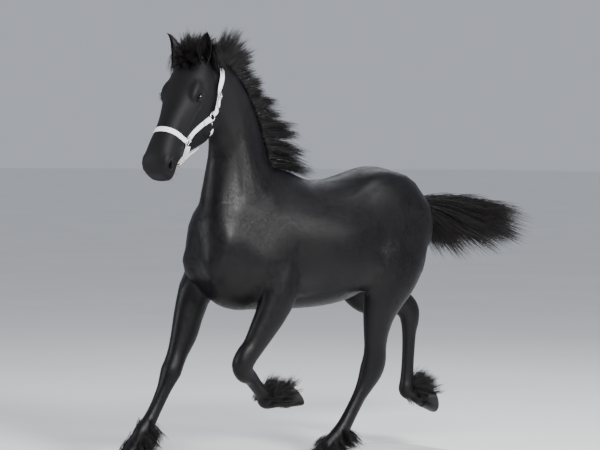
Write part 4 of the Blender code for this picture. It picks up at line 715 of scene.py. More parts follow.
def draw_flesh():
    """The flesh as one surface: rings joined, redrawn on a fine grid, eased, and thinned off the head."""
    skin = mesh_object("skin", [turned_out(*tube(at(rings))) for rings in flesh_rings()])
    redraw = skin.modifiers.new("draw together", "REMESH")
    redraw.mode = "VOXEL"
    redraw.voxel_size = SKIN_GRAIN
    softened(skin, SMOOTH_ROUNDS)
    points = mesh_points(skin)
    high = np.clip((points[:, 2] - SOFT_ABOVE) / (SOFT_FULL - SOFT_ABOVE), 0, 1)
    behind = np.clip((far_from(points, on_head(0.1, -0.08, 0.0)) - 0.24) / HEAD_BEGINS, 0, 1)
    softened(skin, SOFT_ROUNDS, "soft", high * behind * (near_head(points) < 0.5))
    points = mesh_points(skin)
    brow = np.zeros(len(points))
    for side in (1, -1):
        spot = far_from(points, on_head(0.135, -0.012, 0.06 * side))
        clear = far_from(points, eye_place(side))
        brow = np.maximum(brow, (1 - smooth_step(spot, 0.03, 0.065)) * smooth_step(clear, 0.026, 0.036))
    softened(skin, BROW_ROUNDS, "brow", brow)
    head = near_head(points)
    low = 1 - smooth_step(points[:, 2], 0.5, 0.8)
    weight_group(skin, "coarse", 1 - 0.85 * head - 0.4 * low * (1 - head))
    thin = skin.modifiers.new("thin", "DECIMATE")
    thin.ratio = SKIN_FACES / (2 * len(skin.data.polygons))
    thin.vertex_group = "coarse"
    thin.vertex_group_factor = 1.0
    applied(skin)
    skin.vertex_groups.clear()
    return skin


def refine(item, wanted, longest):
    """Cut every edge in half that lies in the wanted places and is longer than given, and make triangles."""
    work = bmesh.new()
    work.from_mesh(item.data)
    work.verts.ensure_lookup_table()
    edges = [edge for edge in work.edges
             if all(wanted[vert.index] for vert in edge.verts) and edge.calc_length() > longest]
    bmesh.ops.subdivide_edges(work, edges=edges, cuts=1)
    bmesh.ops.triangulate(work, faces=[face for face in work.faces if len(face.verts) > 3])
    work.to_mesh(item.data)
    work.free()


# Sculpting of the skin

def eye_frame(side):
    """An eye's middle, the way it looks, the way along the lids and the way across them."""
    down_face, forehead = head_axes()[:2]
    look = look_direction(side)
    wide = down_face + 0.12 * forehead
    wide = unit(wide - look * (look @ wide))
    high = np.cross(wide, look) * side
    return eye_place(side), look, wide, high if high @ forehead > 0 else -high


def hump(value, middle, breadth):
    """A bell: exp of minus the square of how many breadths a value lies from the middle."""
    return np.exp(-((value - middle) / breadth) ** 2)


def lid_distance(u, v):
    """How far outside the almond a place is: off a parabola between the corners, or off the next corner."""
    high = np.where(v > 0, LID_HIGH * LID_UPPER, LID_HIGH)
    bow = high * (1 - (u / LID_LONG) ** 2)
    slope = 2 * high * u / LID_LONG**2
    beside = (np.abs(v) - bow) / np.sqrt(1 + slope**2)
    return np.where(np.abs(u) < LID_LONG, beside, np.hypot(np.abs(u) - LID_LONG, v))


def set_lids(points, side):
    """Lids: points near the eye drawn to a ball just over the eyeball, inside the almond to one under it."""
    middle, look, wide, high = eye_frame(side)
    q = points - middle
    reach = np.linalg.norm(q, axis=1)
    u, v = q @ wide, q @ high
    away = lid_distance(u, v)
    rim = EYE_RADIUS + LID_DEPTH + 0.0011 * hump(away, 0.0012, 0.0013)
    rim += 0.0012 * hump(away, 0.008, 0.003) * smooth_step(v, -0.002, 0.006)
    crease = -0.0026 * hump(away, 0.0048, 0.0011) * smooth_step(v, -0.003, 0.004)
    crease -= 0.0012 * hump(away, 0.0042, 0.0011) * smooth_step(-v, 0.0, 0.005)
    crease -= 0.0009 * hump(away, 0.0085, 0.0013) * smooth_step(-v, 0.002, 0.007)
    crease *= 1 - smooth_step(np.abs(u), LID_LONG * 0.85, LID_LONG * 1.15)
    under = EYE_RADIUS - 0.0035
    target = np.where(away > 0, rim + crease, under + (rim - under) * smooth_step(away, -0.0016, 0.0))
    share = ((q @ look > -0.004) & (reach < 0.05)) * (1 - smooth_step(away, 0.007, 0.016))
    points += q / np.maximum(reach, 1e-9)[:, None] * ((target - reach) * share)[:, None]


def nostril_frame(side):
    """A nostril's middle, the way along its slit, into it and across it."""
    down_face, forehead, left = head_axes()
    slit = unit(0.85 * down_face - 0.55 * forehead)
    inward = -side * left - 0.45 * down_face
    inward = unit(inward - slit * (slit @ inward))
    across = np.cross(slit, inward)
    across = across if across @ down_face > 0 else -across
    return on_head(NOSTRIL_ALONG, NOSTRIL_DOWN, side * NOSTRIL_ASIDE), slit, inward, across


def open_nostril(points, side):
    """A comma-shaped hollow: depth falls with the level of a bent ellipse, with a raised rim round it."""
    middle, slit, inward, across = nostril_frame(side)
    q = points - middle
    u, v = q @ slit / NOSTRIL_LONG, q @ across
    near = (np.abs(q @ inward) < 0.03) & (np.linalg.norm(q, axis=1) < 0.06)
    wide = NOSTRIL_WIDE * (1 + 0.4 * np.clip(u, -1, 1))
    level = np.sqrt(u**2 + ((v + 0.006 * u**2 - 0.003) / wide) ** 2)
    hollow = NOSTRIL_DEEP * (1 - smooth_step(level, 0.45, 1.02))
    rim = 0.0028 * hump(level, 1.28, 0.22)
    fold = -0.002 * hump(level, 1.95, 0.2) * smooth_step(-v, 0.0, 0.01)
    points += inward * ((hollow - rim - fold) * near)[:, None]


def close_mouth(points, normals):
    """The mouth: a narrow groove where the muzzle crosses one level below the face, with fuller lips."""
    way, out = head_measure(points).T[:2]
    off = out - np.interp(way, *np.array(MOUTH).T[:2])
    groove = -0.0042 * hump(off, 0, 0.0016)
    lips = 0.0016 * hump(off, 0.0065, 0.0042) + 0.0014 * hump(off, -0.006, 0.004)
    points += normals * ((groove + lips) * smooth_step(way, 0.408, 0.428) * (way > 0.4))[:, None]


def press(points, normals):
    """The body's forms: the skin moves by height times exp(-d squared), d the distance in half sizes."""
    for place, sizes, lean, height in RELIEF:
        axes = np.array(leaning_axes(lean))
        for side in (1, -1):
            q = (points - place * np.array((1, side, 1))) @ axes.T / np.array(sizes)
            points += normals * (height * np.exp(-(q**2).sum(1)))[:, None]


def press_head(points, normals):
    """Forms of the head raised or sunk in the same way, in the head's own measures, on both sides."""
    where = head_measure(points)
    for way, out, aside, sizes, height in HEAD_RELIEF:
        for side in ((1, -1) if aside else (1,)):
            q = (where - np.array((way, out, aside * side))) / np.array(sizes)
            points += normals * (height * np.exp(-(q**2).sum(1)))[:, None]


def score(points, normals):
    """Grooves and ridges along smooth lines on a side view, by the distance to the line's nearest place."""
    turned = head_measure(points)
    for on_face, line, low, high, height, width in LINES:
        where, flat = (turned, normals @ head_axes()[2]) if on_face else (points[:, [0, 2, 1]], normals[:, 1])
        pair, aside = where[:, :2], where[:, 2]
        path = spline(line, 12)
        ends = np.linspace(0, 1, len(path))
        beside = ((pair > path.min(0) - 3 * width) & (pair < path.max(0) + 3 * width)).all(1)
        for side in (1, -1):
            near = np.flatnonzero((aside * side > low) & (aside * side < high) & beside)
            if len(near) == 0:
                continue
            far = np.linalg.norm(pair[near][:, None] - path[None], axis=2)
            fade = np.sin(np.clip(ends[far.argmin(1)], 0.02, 0.98) * math.pi) ** 0.6
            weight = hump(far.min(1), 0, width) * fade * smooth_step(flat[near] * side, 0.15, 0.6)
            points[near] += normals[near] * (height * weight)[:, None]


def make_skin(material):
    """The animal's whole skin: the drawn flesh, sunk by the coat's depth and sculpted."""
    skin = draw_flesh()
    for longest in SKIN_EDGES:
        points = mesh_points(skin)
        way, out = head_measure(points).T[:2]
        wanted = (np.abs(out - MOUTH[0][1]) < 0.011) & (way > 0.4) & (way < 0.56)
        for side in (1, -1):
            middle, look = eye_frame(side)[:2]
            wanted |= (far_from(points, middle) < 0.037) & ((points - middle) @ look > 0.0)
            middle, _, inward = nostril_frame(side)[:3]
            wanted |= far_from(points - middle, inward * 0.004) < 0.04
        if longest < FINEST:
            wanted = np.min([far_from(points, eye_place(side)) for side in (1, -1)], 0) < 0.033
        refine(skin, wanted, longest)
        softened(skin, 3, "fine", wanted_again(skin))
    points = mesh_points(skin)
    normals = mesh_normals(skin)
    points -= normals * COAT_DEPTH
    for sculpt in (press, press_head, score, close_mouth):
        sculpt(points, normals)
    for side in (1, -1):
        open_nostril(points, side)
        set_lids(points, side)
    skin.data.vertices.foreach_set("co", at(points).astype(np.float32).ravel())
    skin.data.update()
    skin.data.polygons.foreach_set("use_smooth", np.full(len(skin.data.polygons), True))
    names = [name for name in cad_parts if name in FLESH_NODES or name.endswith(FLESH_ENDINGS)]
    return finish_piece(skin, material, "coat", *names)


def wanted_again(skin):
    """1 on the points near the eyes, nostrils and mouth, where the skin is fine."""
    points = mesh_points(skin)
    way, out = head_measure(points).T[:2]
    wanted = (np.abs(out - MOUTH[0][1]) < 0.013) & (way > 0.398)
    for side in (1, -1):
        wanted |= far_from(points, eye_place(side)) < 0.038
        wanted |= far_from(points, nostril_frame(side)[0]) < 0.042
    return wanted.astype(float)


# Eyes, ears and hooves

def make_eye(side, name, material):
    """An eyeball: a ball whose front swells a little as the cornea does, turned to the way it looks."""
    middle, *ways = eye_frame(side)
    polar, places = ball(38, 56)
    swell = EYE_RADIUS * (1 + 0.035 * hump(polar, 0, 0.62))
    rings = middle + (places * swell[:, None, None]) @ np.array(ways)
    eye = closed_tube("ball_" + name, at(rings))
    flat = unit(np.vstack((rings.reshape(-1, 3), rings[0].mean(0), rings[-1].mean(0))) - middle)
    set_value(eye, "off_axis", np.arccos(np.clip(flat @ ways[0], -1, 1)))
    set_value(eye, "across", flat @ ways[1])
    set_value(eye, "height", flat @ ways[2])
    return finish_piece(eye, material, "eye", name)


def ear_frame(side):
    """An ear's root, the way it rises, the way its cup opens and the way across."""
    forehead, left = head_axes()[1:]
    root = on_head(EAR_ALONG, EAR_OUT, side * EAR_ASIDE[side])
    upright = unit(UP + EAR_SPLAY[side] * side * left + EAR_FORWARD * forehead)
    open_way = HEADING * math.cos(EAR_TWIST) + side * left * math.sin(EAR_TWIST)
    open_way = unit(open_way - upright * (upright @ open_way))
    return root, upright, open_way, np.cross(upright, open_way)


def ear_size(u):
    """The leaf's half breadth at shares of the ear's length, and the angle that its cup reaches round."""
    return EAR_WIDTH * np.clip(np.interp(u, *EAR_LEAF), 0.03, None), np.interp(u, *EAR_REACH) * math.pi / 180


def ear_grid(side, u, v, depth):
    """Ear surface: from the root along u, round its hollow by the angle v times the reach, sunk by depth."""
    root, upright, open_way, across = ear_frame(side)
    wide, reach = ear_size(u)
    lean = EAR_HOOK * np.clip(u, 0, 1) ** 2
    centre = root + upright * (EAR_LENGTH * u)[:, None] + open_way * (lean - wide * 0.3)[:, None]
    angle = reach[:, None] * v
    radius = np.maximum(wide[:, None] - depth, wide[:, None] * 0.3)
    return (centre[:, None] - open_way * (radius * np.cos(angle))[..., None]
            + across * (radius * np.sin(angle))[..., None])


def make_ear(side, name, material):
    """An ear: an outer and an inner leaf-shaped surface, a crescent in section, with a rounded rim."""
    u = np.concatenate((np.linspace(-0.12, 0.9, 34), np.linspace(0.91, 1.0, 10)))
    v = np.linspace(-1, 1, 30)
    outer = ear_grid(side, u, v, 0.0)
    inner = ear_grid(side, u, v * 0.985, EAR_THICK * 0.8)
    ridge = 0.001 * np.cos(v * 9.0) * (1 - np.abs(v)) * np.sin(np.clip(u, 0, 1) * math.pi)[:, None]
    inner = inner + ear_frame(side)[2] * ridge[..., None]
    rims = [(outer[:, [edge]] + inner[:, [edge]]) / 2
            + unit(outer[:, [edge]] - outer[:, [beside]]) * EAR_THICK * 0.25
            for edge, beside in ((-1, -2), (0, 1))]
    ear = closed_tube("shell_" + name, at(np.concatenate((outer, rims[0], inner[:, ::-1], rims[1]), 1)))
    return finish_piece(ear, material, "coat", name)


def make_ear_hair(side, name, rng, material):
    """Hair of an ear: fine tufts inside both rims cross the cup upwards, and short ones lie on its back."""
    root_place, upright, open_way, across = ear_frame(side)
    count = EAR_HAIRS
    u = rng.uniform(0.02, 0.93, count)
    inside = rng.uniform(0, 1, count) < 0.62
    edge = np.where(rng.uniform(0, 1, count) < 0.5, -1, 1)
    v = np.where(inside, edge * rng.uniform(0.45, 1.0, count), rng.uniform(-1, 1, count))
    wide, reach = ear_size(u)
    centre = (root_place + upright * (EAR_LENGTH * u)[:, None]
              + open_way * (EAR_HOOK * u**2 - wide * 0.3)[:, None])
    radius = np.where(inside, wide - EAR_THICK * 0.75, wide)
    spoke = -open_way * np.cos(reach * v)[:, None] + across * np.sin(reach * v)[:, None]
    root = centre + spoke * radius[:, None]
    crossing = -across * np.sign(v)[:, None] * 0.75 + open_way * 0.35 + upright * 0.75
    lying = upright + spoke * 0.16
    direction = unit(np.where(inside[:, None], crossing, lying) + rng.normal(0, 0.14, (count, 3)))
    length = np.where(inside, 0.02, 0.01) * rng.uniform(0.6, 1.2, count) * (1.05 - 0.55 * u)
    tip = root + direction * length[:, None]
    fall = np.where(inside[:, None], open_way, spoke) * 0.004
    return locks("hair_" + name, root, tip, rng.uniform(0.0009, 0.0018, count), fall, 3, rng, 0.03,
                 (u, 0.5 + 0.45 * v), material, "coat")


def make_lashes(side, name, rng, material):
    """Eyelashes: curved hairs along the upper lid's rim and a few short ones below."""
    middle, look, wide, high = eye_frame(side)
    count = LASHES
    u = rng.uniform(-0.92, 0.92, count) * LID_LONG
    upper = rng.uniform(0, 1, count) < 0.8
    v = (np.where(upper, LID_HIGH * LID_UPPER, -LID_HIGH) * (1 - (u / LID_LONG) ** 2)
         + np.where(upper, 0.0006, -0.0006))
    depth = np.sqrt(np.maximum((EYE_RADIUS + LID_DEPTH + 0.0008) ** 2 - u**2 - v**2, 1e-6))
    root = middle + wide * u[:, None] + high * v[:, None] + look * depth[:, None]
    direction = (look + high * np.where(upper, -0.15, -0.5)[:, None]
                 + wide * (u / LID_LONG * 0.45)[:, None] + rng.normal(0, 0.1, (count, 3)))
    length = np.where(upper, 0.013, 0.007) * rng.uniform(0.6, 1.15, count)
    tip = root + unit(direction) * length[:, None] + high * np.where(upper, 0.003, 0)[:, None]
    fall = -high * np.where(upper, 0.006, 0.0)[:, None]
    return locks("lashes_" + name, root, tip, np.full(count, 0.0006), fall, 4, rng, 0.02,
                 (0.5 + 0.4 * u / LID_LONG, 0.5 + 0.3 * v / LID_HIGH), material, "coat")


def make_whiskers(rng, material):
    """Whiskers: thin single hairs round the lips, the chin and the nostrils."""
    down_face, forehead, left = head_axes()
    count = WHISKERS
    side = np.where(rng.uniform(0, 1, count) < 0.5, -1.0, 1.0)
    way = rng.uniform(0.44, 0.515, count)
    angle = rng.uniform(-0.5, 1.9, count)
    rows = np.array(HEAD).T
    low, half = (np.interp(way, rows[0], rows[k]) for k in (2, 3))
    root = on_head(way, -0.062 + (low + 0.062) * np.sin(angle) * 0.86, side * half * np.cos(angle) * 0.86)
    out = unit(left * (side * np.cos(angle))[:, None] - forehead * np.sin(angle)[:, None] + down_face * 0.4)
    length = rng.uniform(0.018, 0.045, count) + half * 0.14
    fall = np.broadcast_to(forehead * 0.004 - UP * 0.004, root.shape)
    return locks("whiskers", root, root + out * length[:, None], np.full(count, 0.0007), fall, 4, rng, 0.03,
                 (way, 0.5 + side * 0.2), material, "coat")


def make_hoof(name, material):
    """A hoof: rings down to the sole with growth rings, then inwards over a hollow sole and a frog."""
    pitch = math.radians(HOOVES[name]["pitch"])
    toe = np.array((math.cos(pitch), 0, math.sin(pitch)))
    up = np.array((-math.sin(pitch), 0, math.cos(pitch)))
    share, length, width, shift, drop = spline(HOOF_RINGS, 14).T[..., None]
    cos, sin = turns(HOOF_SIDES)
    ripple = 0.00045 * np.sin(share * 46 + 0.6 * cos) * np.sin(np.clip(share * 1.1, 0, 1) * math.pi)
    rim = 0.0012 * hump(share, 0.05, 0.05)
    heel = 1 - 0.1 * np.clip(-cos, 0, 1) ** 6 * share
    ahead = (length + ripple + rim) * bent(cos, 0.96) * heel + shift
    aside = (width + ripple + rim) * bent(sin, 0.94)
    height = np.broadcast_to(HOOF_RISE * (1 - share) * cos - drop, ahead.shape)
    inside, sunk = np.array(SOLE).T[..., None]
    sole_ahead = (ahead[-1] - shift[-1]) * inside + shift[-1]
    sole_aside = aside[-1] * inside
    behind = smooth_step(shift[-1] - sole_ahead, -0.012, 0.03)
    frog = 0.0075 * hump(sole_aside, 0, 0.006 + 0.01 * behind) * behind
    cleft = -0.0035 * hump(sole_aside, 0, 0.002) * behind
    ahead = np.vstack((ahead, sole_ahead))
    aside = np.vstack((aside, sole_aside))
    height = np.vstack((height, height[-1] + np.maximum(sunk - frog - cleft, 0.0004)))
    rings = (np.array(HOOVES[name]["coronet"]) + ahead[..., None] * toe + aside[..., None] * LEFT
             + height[..., None] * up)
    hoof = closed_tube("horn_" + name, at(rings))
    set_value(hoof, "down", np.concatenate(
        (np.repeat(share[:, 0], HOOF_SIDES), np.full(len(SOLE) * HOOF_SIDES, 1.1), (0.0, 1.1))))
    return finish_piece(hoof, material, "hoof_horn", name + "_hoof")


# Hair

def hair(name, root, tip, width, fall, steps, rng, curl, flat=0.55, facing=None):
    """Tapered locks: root + (tip - root) t + fall t (1 - t) + a small curl, with a section of few sides."""
    count = len(root)
    sides = LOCK_SIDES
    t = np.linspace(0, 1, steps + 1)[None, :, None]
    length = np.linalg.norm(tip - root, axis=1)[:, None, None]
    swing = unit(rng.normal(size=(count, 1, 3)))
    phase = rng.uniform(0, 2 * math.pi, (count, 1, 1))
    path = (root[:, None] + (tip - root)[:, None] * t + fall[:, None] * t * (1 - t)
            + swing * length * curl * (np.sin(t * 5.0 + phase) - np.sin(phase)) * t)
    tangent = unit(np.gradient(path, axis=1))
    side = unit(np.cross(tangent, rng.normal(size=(count, 1, 3)) if facing is None else facing[:, None]))
    deep = np.cross(tangent, side)
    cos, sin = turns(sides)[..., None]
    taper = (0.55 + 0.75 * t - 1.05 * t**2) * (1 - 0.55 * t**6)
    radius = width[:, None, None] / 2 * np.clip(taper, 0.05, None)
    path, side, deep, radius = (rows[:, :, None] for rows in (path, side, deep, radius))
    ring = (path + (side * cos + deep * flat * sin) * radius)[:, :-1]
    per = steps * sides + 1
    points = np.concatenate((ring.reshape(count, -1, 3), path[:, -1]), 1)
    corner = np.arange(sides)
    tips = np.stack((corner, (corner + 1) % sides, 0 * corner + sides), -1) + (steps - 1) * sides
    start = np.arange(count)[:, None, None] * per
    blocks = [(start + block).reshape(-1, block.shape[1])
              for block in (grid_faces(steps, sides), tips, corner[::-1][None])]
    item = mesh_object(name, [(at(points.reshape(-1, 3)), blocks)])
    shares = np.append(np.repeat(np.linspace(0, 1, steps + 1)[:-1], sides), 1.0)
    set_value(item, "tip", np.tile(shares, count))
    set_value(item, "shade", np.repeat(rng.uniform(0, 1, count), per))
    return item, per


def gathered(root, clump_root, clump_tip, pull, reach, scatter, rng):
    """Ends of a clump's hairs: each runs like its clump, drawn to its end by pull, and stops at its reach."""
    own = root + clump_tip - clump_root
    end = own + (clump_tip - own) * pull[:, None] + rng.normal(0, scatter, root.shape)
    return root + (end - root) * reach[:, None]


def from_clumps(clump_root, clump_tip, count, rng, blur, pull, reach, scatter=0.005):
    """Hairs of clumps: the clump of each, its root by a blur round the clump's root, and its tip."""
    pick = rng.integers(0, len(clump_root), count)
    root = clump_root[pick] + rng.normal(0, blur[0], (count, 3)) * (1, 1, blur[1])
    pull = rng.uniform(*pull, count)
    reach = rng.uniform(*reach, count)
    return pick, root, gathered(root, clump_root[pick], clump_tip[pick], pull, reach, scatter, rng)


def bake_patches(item, per, place):
    """The OFBake map: every lock a small round patch at its root's place on the unwrap."""
    corner = np.arange(per)
    patch = PATCH * np.stack((np.cos(corner * 2.4), np.sin(corner * 2.4)), -1)
    place = np.clip(place, 2 * PATCH, 1 - 2 * PATCH)
    set_uv(item, "OFBake", (place[:, None] + patch).reshape(-1, 2))


def locks(name, root, tip, width, fall, steps, rng, curl, place, material, slot, *nodes):
    """A finished piece of hair, with each root's place on the bake map."""
    item, per = hair(name, root, tip, width, fall, steps, rng, curl)
    bake_patches(item, per, np.stack(place, -1))
    return finish_piece(item, material, slot, *nodes)


def crest_line():
    """The neck's crest from the poll to the withers: its places, the way out of it and the way down it."""
    rows = spline(NECK, 16)
    place = rows[:, :3]
    tangent = tangents(place)
    out = np.cross(tangent, unit(LEFT - tangent * tangent[:, 1:2]))
    top = place + out * rows[:, 3:4]
    keep = (top[:, 2] > CREST_LOW) & (top[:, 2] < CREST_HIGH)
    return top[keep][::-1], out[keep][::-1], -tangent[keep][::-1]


def read_along(blocks, share):
    """Rows of each block of values read at shares of the line's length, with straight steps between."""
    gone = gone_along(blocks[0])
    return [np.stack([np.interp(share * gone[-1], gone, column) for column in block.T], -1)
            for block in blocks]


def on_crest(share, aside):
    """Roots of the mane sunk in the crest and set aside, with the ways out of it and down it."""
    top, out, down = read_along(crest_line(), share)
    root = top - out * (MANE_SUNK * 0.6)
    root[:, 1] += aside * CREST_HALF
    return root, out, down


def make_mane(rng, material):
    """The mane: clumps on the crest lean up and back in tufts, and hairs draw together at a clump's end."""
    count, clumps = MANE_HAIRS, MANE_CLUMPS
    share_k = np.sort(rng.uniform(0, 1, clumps) ** 1.15)
    gap = smooth_step(share_k, 0.3, 0.85) * (1 - 0.9 * smooth_step(share_k, 0.8, 0.92))
    tufts = (np.arange(MANE_TUFTS) + rng.uniform(-0.3, 0.3, MANE_TUFTS) + 0.5) / MANE_TUFTS
    nearest = np.abs(share_k[:, None] - tufts).argmin(1)
    off = share_k - tufts[nearest]
    aside = rng.uniform(-1, 1, clumps)
    clump_root, out, down = on_crest(share_k, aside)
    lean = 0.48 + 0.8 * share_k - 0.5 * hump(share_k, 0, 0.13) + 0.17 * rng.normal(size=clumps)
    parting = 0.25 * share_k - (0.6 + 3.4 * gap) * off
    direction = out + REARWARD * lean[:, None] + down * parting[:, None]
    direction[:, 1] += 0.3 * aside + 0.1 * rng.normal(size=clumps)
    strong = rng.uniform(0.86, 1.12, MANE_TUFTS)[nearest]
    length = np.interp(share_k, *MANE_LENGTHS) * strong * (
        0.92 - 0.16 * gap + (0.12 + 0.18 * gap) * hump(off * MANE_TUFTS, 0, 0.36)) + MANE_SUNK
    clump_tip = clump_root + unit(direction) * length[:, None]
    clump_tip[:, 2] -= 0.025 * rng.uniform(0.2, 1.2, clumps) * (0.3 + share_k)
    pick = rng.integers(0, clumps, count)
    share = np.clip(share_k[pick] + rng.normal(0, 0.016, count), 0, 1)
    root = on_crest(share, np.clip(aside[pick] + rng.normal(0, 0.3, count), -1.1, 1.1))[0]
    tip = gathered(root, clump_root[pick], clump_tip[pick], rng.uniform(0.35, 0.95, count),
                   rng.uniform(0.62, 1.06, count), 0.006, rng)
    bow = (0.4 + share) * rng.uniform(0.4, 1.3, count)
    fall = np.stack((-0.01 * bow, 0.02 * aside[pick], 0.045 * bow), -1)
    return locks("mane_hair", root, tip, rng.uniform(0.0019, 0.004, count), fall, 7, rng, 0.04,
                 (0.05 + 0.9 * share, 0.5 + 0.2 * aside[pick]), material, "long_hair", "mane")


def dock_point(share):
    """The tail's fleshy root: straight back from the croup, sinking evenly."""
    return np.stack((TAIL_ROOT[0] - DOCK_LENGTH * share, 0 * share, TAIL_ROOT[1] - DOCK_DROP * share), -1)


def round_dock(share, turn):
    """Roots of the tail's hair: places round the dock, by a turn from its top."""
    return dock_point(share) + DOCK_HALF * np.stack((0 * turn, 0.8 * np.sin(turn), np.cos(turn)), -1)


def make_tail_core(material):
    """The tail's root: a tapered tube along the dock that the hair covers."""
    share = np.linspace(-0.12, 1.3, 24)
    thick = np.interp(share, (-0.12, 0.1, 0.6, 1.3), (0.034, 0.036, 0.03, 0.006))
    rows = np.column_stack((dock_point(share), thick, thick * 0.8))
    core = closed_tube("tail_dock", at(path_rings(rows, 20)))
    return finish_piece(core, material, "long_hair", "tail")


def make_tail(name, rng, material):
    """The tail: clumps run from the dock to ends spread in the outline, and hairs draw together there."""
    count, clumps = TAIL_HAIRS, TAIL_CLUMPS
    outline = np.array(TAIL_OUTLINE)
    share_k = rng.uniform(0, 1, clumps) ** TAIL_EVEN
    level_k = rng.uniform(-1.0, 1.0, clumps)
    side_k = rng.uniform(-1, 1, clumps) * np.sqrt(1 - 0.9 * level_k**2)
    behind = outline[0, 0] + share_k * (outline[-1, 0] - outline[0, 0])
    top, bottom, half = (np.interp(behind, outline[:, 0], outline[:, k]) for k in (1, 2, 3))
    level_k = np.where((behind < DOCK_LENGTH) & (level_k > 0), -level_k, level_k)
    clump_tip = np.stack((TAIL_ROOT[0] - behind, side_k * half,
                          (top + bottom) / 2 + (top - bottom) / 2 * level_k * 0.98), -1)
    reach = TAIL_REACH[0] + share_k * (TAIL_REACH[1] - TAIL_REACH[0])
    dock_k = np.clip((behind - reach) / DOCK_LENGTH, 0.02, 1.2)
    turn_k = np.arctan2(side_k, level_k)
    clump_root = round_dock(dock_k, turn_k)
    pick = rng.integers(0, clumps, count)
    at_dock = dock_k[pick] * rng.uniform(0.35, 1.0, count)
    turn = turn_k[pick] + rng.normal(0, 0.5, count)
    root = round_dock(at_dock, turn)
    end = clump_tip[pick] + (root - clump_root[pick]) * 0.15 + rng.normal(0, 0.014, (count, 3))
    tip = root + (end - root) * (1.05 - 0.4 * rng.uniform(0, 1, count) ** 1.6)[:, None]
    early = np.where(behind[pick] < DOCK_LENGTH, 0.4, 1.0)
    aside = 0.02 * rng.normal(size=count)
    fall = np.stack((0 * turn, aside, TAIL_SINK * early * rng.uniform(0.3, 1.3, count)), -1)
    return locks(name, root, tip, rng.uniform(0.0021, 0.0044, count), fall, 8, rng, 0.035,
                 (0.05 + 0.7 * at_dock, turn / (2 * math.pi) % 1), material, "long_hair")


def make_forelock(rng, material):
    """The forelock: tufts between the ears fan from fallen over the forehead to upright and leaning back."""
    count, clumps = FORELOCK_HAIRS, FORELOCK_CLUMPS
    aside = rng.uniform(-1, 1, clumps)
    back_way = rng.uniform(0, 1, clumps)
    clump_root = on_head(0.034 - 0.076 * back_way, -0.008 - 0.014 * back_way, aside * 0.043)
    lean = 1.95 - 2.75 * back_way + rng.normal(0, 0.22, clumps)
    direction = (UP * np.cos(lean)[:, None] + HEADING * (0.8 * np.sin(lean))[:, None]
                 + head_axes()[2] * (aside * 0.4 + rng.normal(0, 0.16, clumps))[:, None])
    length = FORELOCK_LENGTH * np.interp(back_way, (0, 0.25, 0.6, 1), (0.52, 0.66, 1.0, 1.15))
    clump_tip = clump_root + unit(direction) * (length * rng.uniform(0.85, 1.12, clumps))[:, None]
    pick, root, tip = from_clumps(clump_root, clump_tip, count, rng, (0.007, 0.3), (0.3, 0.9), (0.6, 1.06))
    fall = UP * (0.012 + 0.03 * np.sin(np.clip(lean[pick], 0, 1.6)))[:, None]
    return locks("forelock_hair", root, tip, rng.uniform(0.0018, 0.0036, count), fall, 6, rng, 0.06,
                 (0.5 + 0.4 * aside[pick], 0.2 + 0.6 * back_way[pick]), material, "long_hair", "forelock")


def make_poll_hair(rng, material):
    """Hair behind the ears: tufts stand on the start of the crest, others fall aside over the crown strap."""
    count, clumps = POLL_HAIRS, POLL_CLUMPS
    share_k = rng.uniform(0, 0.085, clumps)
    aside = rng.uniform(-1, 1, clumps)
    sign = np.sign(aside)
    top, out = read_along(crest_line(), share_k)[:2]
    falls = (np.abs(aside) > 0.45)[:, None]
    lean = rng.uniform(-0.42, 0.5, clumps)
    standing = UP + REARWARD * lean[:, None] + LEFT * (aside * 0.45)[:, None]
    stand_root = top - out * 0.004 + LEFT * (aside * 0.034)[:, None]
    stand_tip = stand_root + unit(standing) * rng.uniform(0.06, 0.095, (clumps, 1))
    fall_root = on_head(rng.uniform(-0.066, -0.04, clumps), -0.026, sign * rng.uniform(0.01, 0.052, clumps))
    fall_tip = on_head(rng.uniform(-0.03, 0.036, clumps), rng.uniform(-0.118, -0.062, clumps),
                       sign * rng.uniform(0.108, 0.128, clumps))
    clump_root = np.where(falls, fall_root, stand_root)
    clump_tip = np.where(falls, fall_tip, stand_tip)
    pick, root, tip = from_clumps(clump_root, clump_tip, count, rng, (0.007, 0.3), (0.3, 0.9), (0.55, 1.06))
    arch = head_axes()[2] * (sign * 0.075)[:, None] + UP * 0.135
    fall = np.where(falls, arch, (UP + REARWARD) * 0.02)[pick]
    return locks("poll_hair", root, tip, rng.uniform(0.0018, 0.0036, count), fall, 6, rng, 0.05,
                 (0.05 + 0.9 * share_k[pick], 0.5 + 0.2 * aside[pick]), material, "long_hair")


